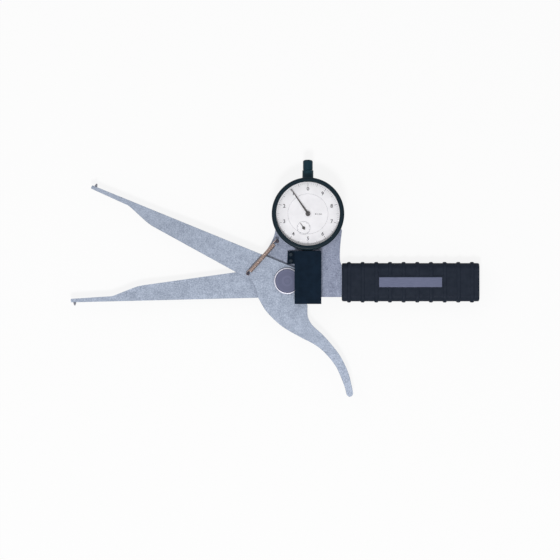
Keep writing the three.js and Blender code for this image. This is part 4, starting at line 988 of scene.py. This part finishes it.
# Gauge: case, necks, bezel, crystal and dial.
def gauge_case():
    case = turned(
        "gauge_case_turned",
        [(24.9, 10.2), *rounding((25.9, 10.5), (CASE_RADIUS, 10.9), (CASE_RADIUS, 12), 6),
         (CASE_RADIUS, 23.3), (26.8, 23.5), (25.6, 23.5), (25.4, 23.3), (25.4, 11.6), (2, 11.6)],
        LARGE_SIDES, place=DIAL_CENTRE,
    )
    for low, high in ((-32, -22), (22, 32)):
        bore(case, 4.1, low, high, MIDDLE_SIDES, ALONG_Y, PLUNGER_CENTRE)
    for place in CASE_SCREWS:
        bore(case, SCREW_HOLE, 9, 13, place=(*place, 0))
    smooth(case)
    carry(case, "frame", CASE_BLACK, "black_metal", "gauge_case")


def necks():
    """Stem, neck and cap. Stem and neck have a collar inside the case."""
    seat = 25.0072  # where a collar's rim would meet the case's inner wall
    for name, node, material, slot, edge, profile in (
        ("gauge_stem", "stem_bush", SCREW_STEEL, "dark_steel", 0.05,
         [(2.3, -39.3), (3.7, -39.3), (4, -39.0), (4, -seat + 0.2), (4.45, -seat + 0.2),
          (4.45, -seat + 1.4), (2.3, -seat + 1.4), (2.3, -39.3)]),
        ("gauge_neck", "neck_bush", CAP_BLACK, "black_metal", 0,
         [(2.3, seat - 1.4), (4.45, seat - 1.4), (4.45, seat - 0.2), (4, seat - 0.2), (4, 27.2),
          (4.35, 27.2), *rounding((4.35, 34), (4.35, 34.6), (3.9, 34.6), 5), (2.3, 34.6),
          (2.3, seat - 1.4)]),
        ("plunger_cap", "spindle_cap", CAP_BLACK, "black_paint", 0,
         [(2.95, 41.4), (2.95, 34.8), (3.75, 34.8), (3.85, 34.9),
          *rounding((3.85, 41.2), (3.85, 42.8), (0.6, 42.9), 10)]),
    ):
        piece = turned(name, profile, MIDDLE_SIDES, ALONG_Y, PLUNGER_CENTRE, edge)
        carry(piece, "frame", material, slot, node)


def bezel_and_dial():
    for name, node, body, material, slot, edge, profile in (
        ("bezel_turned", "bezel", "bezel", BEZEL_BLACK, "black_metal", 0,
         [(27.2, 21.1), (28.05, 21.1), (28.55, 21.6),
          *rounding((28.55, 27.7), (28.55, 29.3), (26.95, 29.3), 10),
          *rounding((25.6, 29.3), (25.05, 29.2), (25, 28.7), 5),
          (25, 28.5), (26.2, 28.5), (26.2, 24.4), (27.2, 24.4), (27.2, 21.1)]),
        ("crystal_lens", "crystal", "bezel", GLASS, "crystal", 0,
         [(25.9, 26.9), (26, 27), (26, 28.1), (25.8, 28.3)]),
        ("crystal_seat", "crystal_retainer", "bezel", BEZEL_BLACK, "black_metal", 0.08,
         ring_profile(25.2, 26, 24.5, 26.7)),
        ("outer_scale", "scale_ring", "bezel", DIAL_WHITE, "dial_white", 0.03,
         ring_profile(16.01, 26.9, DIAL_LOW, DIAL_HIGH)),
        ("inner_dial", "dial_face", "frame", DIAL_WHITE, "dial_white", 0.03,
         ring_profile(1, 15.99, DIAL_LOW, DIAL_HIGH)),
    ):
        piece = turned(name, profile, LARGE_SIDES, place=DIAL_CENTRE, edge=edge)
        if node == "dial_face":
            bore(piece, 1, 23, 25, place=(COUNTER_X, COUNTER_Y, 0))
            smooth(piece)
        carry(piece, body, material, slot, node)


# Pointers and print.
def pointers():
    """Blades that narrow from root to tip, each joined with its hub."""
    tail = 1.5
    for name, node, body, reach, root, tip, low, high, hub, lean, place in (
        ("pointer_blade", "main_pointer", "centre", 23.4, 1.6, 0.5, 0.35, 0.65,
         [(1.75, 0), (1.9, 0.15), *rounding((1.9, 0.8), (1.85, 1.1), (1.2, 1.15), 6), (0.5, 1.2)],
         radians(34.4), (DIAL_X, DIAL_Y, 25.2)),
        ("counter_blade", "counter_hand", "counter", 4.6, 0.85, 0.35, 0.1, 0.3,
         [(1.15, 0), (1.2, 0.05), (1.2, 0.38), (1.05, 0.5), (0.4, 0.52)],
         radians(33.7), (COUNTER_X, COUNTER_Y, 24.55)),
    ):
        blade = box(name, (-root / 2, -tail, low), (root / 2, reach, high))
        edit_some(blade, "VERT", lambda vertex: vertex.co.y > reach * MM * 0.9)
        bpy.ops.transform.resize(value=(tip / root, 1, 1), center_override=(0, reach * MM, 0))
        leave_edit()
        trim(blade, turned("hub", hub, MIDDLE_SIDES), "UNION")
        soften(blade, 0.05)
        settle(blade, (0, 0, lean), place)
        smooth(blade)
        carry(blade, body, POINTER_INK, "pointer_black", node)


def lettering(name, words, height, place):
    """Raised print, its middle at its place. The font's size is 1.37 times a digit's height."""
    deselect()
    bpy.ops.object.text_add(location=CENTRE)
    text = bpy.context.object.data
    text.body = words
    text.align_x = "CENTER"
    text.align_y = "CENTER"
    text.size = height * 1.37 * MM
    text.extrude = 0.01 * MM
    text.offset = height * 0.03 * MM
    text.resolution_u = 4
    bpy.ops.object.convert(target="MESH")
    letters = named(name)
    settle(letters, place=(*place, DIAL_HIGH))
    outward(letters)
    return letters


def ring_of_marks(name, mark, count, chosen, centre):
    """Copies of a mark round a centre, at the chosen places of a full count."""
    copies = []
    for i in chosen:
        copy = again(mark, name)
        settle(copy, (0, 0, TURN * i / count), (*centre, 0))
        copies.append(copy)
    bpy.data.objects.remove(mark, do_unlink=True)
    return joined(name, copies)


def circle_line(name, inner, outer, centre):
    profile = ring_profile(inner, outer, PRINT_LOW, PRINT_HIGH)
    return turned(name, profile, MIDDLE_SIDES, place=(*centre, 0))


def dial_print():
    dial, small = (DIAL_X, DIAL_Y), (COUNTER_X, COUNTER_Y)
    marks = {}
    for name, inner, outer, half_width, count, chosen, centre in (
        ("long_marks", 21.7, 24.4, 0.13, 100, range(0, 100, 10), dial),
        ("middle_marks", 22.4, 24.4, 0.1, 100, range(5, 100, 10), dial),
        ("short_marks", 23.2, 24.4, 0.07, 100, [i for i in range(100) if i % 5], dial),
        ("counter_long_marks", 4.2, 5.2, 0.08, 50, range(0, 50, 5), small),
        ("counter_short_marks", 4.6, 5.2, 0.05, 50, [i for i in range(50) if i % 5], small),
    ):
        mark = box("mark", (-half_width, inner, PRINT_LOW), (half_width, outer, PRINT_HIGH))
        marks[name] = ring_of_marks(name, mark, count, chosen, centre)
    numbers = [
        lettering(f"number_{i}", str(i), 2.9, Vector(dial) + polar(19.6, pi / 2 + TURN * i / 10))
        for i in range(10)
    ]
    words = lettering("graduation", "0.1 mm", 1.3, (24.6, DIAL_Y - 0.2))
    for name, body, ink, pieces in (
        ("scale_print", "bezel", INK, [marks["long_marks"], marks["middle_marks"], *numbers]),
        ("scale_print_fine", "bezel", PALE_INK, [marks["short_marks"]]),
        ("dial_print", "frame", INK, [marks["counter_long_marks"], words]),
        ("dial_print_fine", "frame", PALE_INK, [
            marks["counter_short_marks"],
            circle_line("counter_circle", 5.12, 5.28, small),
            circle_line("dial_circle", 15.7, 15.84, dial),
        ]),
    ):
        carry(joined(name, pieces), body, ink, "pointer_black")


# Springs inside the gauge, and the finishes of its movement.
def plunger_spring():
    """Open curls between the plunger's shoulder and the cap's floor."""
    radius, thickness, gap, curls, curl_steps = 1.75, 0.35, 0.2, 6, 24
    low = CASE_RADIUS + 6.6 + gap + thickness / 2
    high = CASE_RADIUS + 15.9 - 1.5 - gap - thickness / 2
    steps = curls * curl_steps
    points = []
    for i in range(steps + 1):
        turn = TURN * i / curl_steps
        points.append((DIAL_X + radius * cos(turn), DIAL_Y + low + (high - low) * i / steps,
                       PLUNGER_Z + radius * sin(turn)))
    coil = wire("plunger_return_coil", points, thickness, 8)
    stretch(coil, "plunger_spring", points[0], points[-1])


def hairspring():
    """A flat band that winds out from the take-up wheel's collet."""
    inner, growth, thickness, height, turns, turn_steps = 1.75, 2.85, 0.16, 0.5, 4, 36
    lowest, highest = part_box("hairspring")
    level = (lowest[2] + highest[2]) / 2 / MM
    centre = Vector([(a + b) / 2 / MM for a, b in zip(*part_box("hairspring_collet"))][:2])
    steps = turns * turn_steps
    inside, outside = (
        [centre + polar(inner + growth * i / steps + side, TURN * i / turn_steps)
         for i in range(steps + 1)]
        for side in (0.0, thickness)
    )
    band = sheet("hairspring_band", [inside + outside[::-1]],
                 level - height / 2, level + height / 2)
    smooth(band)
    carry(band, "frame", SPRING_WIRE, "spring_steel", "hairspring")


def movement_finishes():
    for material, nodes in (
        (BRASS, ("movement_plate_rear", "movement_plate_middle", "movement_plate_front",
                 "counter_wheel", "take_up_wheel", "hairspring_collet")),
        (PIN_STEEL, ("rack_spindle", "contact_tip", "spindle_guide_pin", "counter_arbor",
                     "centre_arbor", "take_up_arbor", "hairspring_stud", "anvil_pin", "stop_pin")),
        (SCREW_STEEL, ("movement_screw_1", "movement_screw_2", "movement_screw_3")),
    ):
        for node in nodes:
            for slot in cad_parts[node].material_slots:
                slot.material = material


# Handle.
HANDLE_HALF, HANDLE_THICK = 15.15, 16
RIBS, RIB_HALF, RIB_MARGIN = 10, 1.6, 5.6
RIB_RISE_Y, RIB_RISE_Z = 0.95, 0.4
RIB_SWELL = (
    (-1, 0), (-0.88, 0.3), (-0.72, 0.72), (-0.5, 0.94), (0, 1),
    (0.5, 0.94), (0.72, 0.72), (0.88, 0.3), (1, 0),
)


def handle_bar():
    """The handle before it is parted: a bar with rounded edges and ribs round it."""
    bar = box("handle_bar", (HANDLE_LEFT, HANDLE_Y - HANDLE_HALF, 0),
              (HANDLE_RIGHT, HANDLE_Y + HANDLE_HALF, HANDLE_THICK))

    def ends(line):
        return [bar.data.vertices[i].co.x for i in line.vertices]

    def runs_along(line):
        return abs(ends(line)[0] - ends(line)[1]) > MM

    def lies_at_end(line):
        return any(
            all(abs(end - x * MM) < MM / 100 for end in ends(line))
            for x in (HANDLE_LEFT, HANDLE_RIGHT)
        )

    for chosen, width, steps in ((runs_along, 4.5, 8), (lies_at_end, 1.2, 4)):
        edit_some(bar, "EDGE", chosen)
        bpy.ops.mesh.bevel(offset=width * MM, segments=steps, affect="EDGES")
        leave_edit()

    edit(bar)
    pitch = (HANDLE_RIGHT - HANDLE_LEFT - 2 * RIB_MARGIN) / (RIBS - 1)
    stations = []
    for rib in range(RIBS):
        for share, swell in RIB_SWELL:
            x = HANDLE_LEFT + RIB_MARGIN + pitch * rib + share * RIB_HALF
            bpy.ops.mesh.select_all(action="SELECT")
            bpy.ops.mesh.bisect(plane_co=(x * MM, 0, 0), plane_no=(1, 0, 0), threshold=1e-7)
            if swell:
                stations.append((x, swell))
    for x, swell in stations:
        edit_some(bar, "VERT", lambda vertex: abs(vertex.co.x - x * MM) < MM / 1000)
        grow = (1, 1 + RIB_RISE_Y * swell / HANDLE_HALF, 1 + RIB_RISE_Z * swell / HANDLE_THICK)
        bpy.ops.transform.resize(value=grow, center_override=metres((x, HANDLE_Y, 0)))
    leave_edit()
    return bar


def half_of(bar, name, level, keep_high):
    """The bar's front or rear half, with the pocket for the tang."""
    shell = again(bar, name)
    edit(shell)
    bpy.ops.mesh.bisect(
        plane_co=(0, 0, level * MM), plane_no=(0, 0, 1), use_fill=True,
        clear_inner=keep_high, clear_outer=not keep_high,
    )
    leave_edit()
    trim(shell, box("pocket", (42, -10.65, 5.8), (TANG_END + 0.2, 8.75, 10.2)))
    return shell


def handle():
    bar = handle_bar()
    front = half_of(bar, "handle_front_shell", 8.1, True)
    rear = half_of(bar, "handle_rear_shell", 7.9, False)
    bpy.data.objects.remove(bar, do_unlink=True)
    trim(front, box("pad", (71.2, -6.2, 12), (123.6, 4.3, 16.4), 0.25, 3), "UNION")
    trim(front, box("recess", (72.3, -5.1, 15.8), (122.5, 3.2, 17)))
    for place in HANDLE_SCREWS:
        for shell, radius, low, high, sides in (
            (front, SCREW_HOLE, 7, 13.1, SMALL_SIDES),
            (rear, SCREW_HOLE, -1, 9, SMALL_SIDES),
            (rear, 2.9, -1, 2.2, MIDDLE_SIDES),
        ):
            bore(shell, radius, low, high, sides, place=(*place, 0))
    for shell, node in ((front, "handle_front"), (rear, "handle_rear")):
        smooth(shell, 40)
        carry(shell, "frame", HANDLE_BLACK, "handle_plastic", node)
    badge = box("bare_badge", (72.5, -4.9, 15.9), (122.3, 3.0, 16.5), 0.18, 3)
    carry(badge, "frame", BADGE_SILVER, "silver", "name_plate")


# Camera, floor and light.
def seen_rays(tree):
    """1 for rays from the camera, straight, mirrored or through glass, and 0 for all others."""
    rays = add_node(tree, "LightPath")
    seen = reckon(tree, "MAXIMUM", rays["Is Camera Ray"], rays["Is Glossy Ray"])
    return reckon(tree, "MAXIMUM", seen, rays["Is Transmission Ray"])


def camera_and_stage():
    scene = bpy.context.scene
    scene.view_settings.view_transform = "Standard"
    picture_width, pixel, distance = 560, 0.79 * MM, 2.4
    camera_data = bpy.data.cameras.new("camera")
    camera_data.sensor_width = 36
    camera_data.lens = camera_data.sensor_width * distance / (picture_width * pixel)
    camera_data.clip_end = 10
    camera = bpy.data.objects.new("camera", camera_data)
    camera.location = (-5.7 * MM, 0.8 * MM, distance + 15 * MM)
    scene.collection.objects.link(camera)
    scene.camera = camera

    deselect()
    bpy.ops.mesh.primitive_plane_add(size=6, location=(0, 0, -0.05 * MM))
    floor = named("floor")
    material, tree, shader = start_material("floor white")
    set_sockets(tree, shader, {"Base Color": (0.86, 0.86, 0.86, 1), "Roughness": 0.9})
    share = reckon(tree, "MULTIPLY", seen_rays(tree), 0.86)
    mixed_surface(tree, share, shader.outputs[0], add_node(tree, "Emission")[0])
    floor.data.materials.append(material)

    world = bpy.data.worlds.new("studio")
    scene.world = world
    world.use_nodes = True
    tree = world.node_tree
    strength = spread(tree, seen_rays(tree), 0, 1, 0.46, 1.0)
    set_sockets(tree, tree.nodes["Background"], {"Strength": strength, "Color": (1, 1, 1, 1)})

    for name, place, size, power in (
        ("key light", (-0.06, -0.66, 1.6), 0.28, 14.5),
        ("fill light", (-0.9, 0.6, 1.2), 1.2, 2.5),
    ):
        lamp_data = bpy.data.lights.new(name, "AREA")
        lamp_data.shape = "DISK"
        lamp_data.size = size
        lamp_data.energy = power
        lamp = bpy.data.objects.new(name, lamp_data)
        lamp.location = place
        lamp.rotation_euler = (-Vector(place)).to_track_quat("-Z", "Y").to_euler()
        scene.collection.objects.link(lamp)


camera_and_stage()
plates()
contacts()
pivot()
spring_posts()
return_spring()
cover()
screws()
gauge_case()
necks()
bezel_and_dial()
pointers()
dial_print()
plunger_spring()
hairspring()
movement_finishes()
handle()
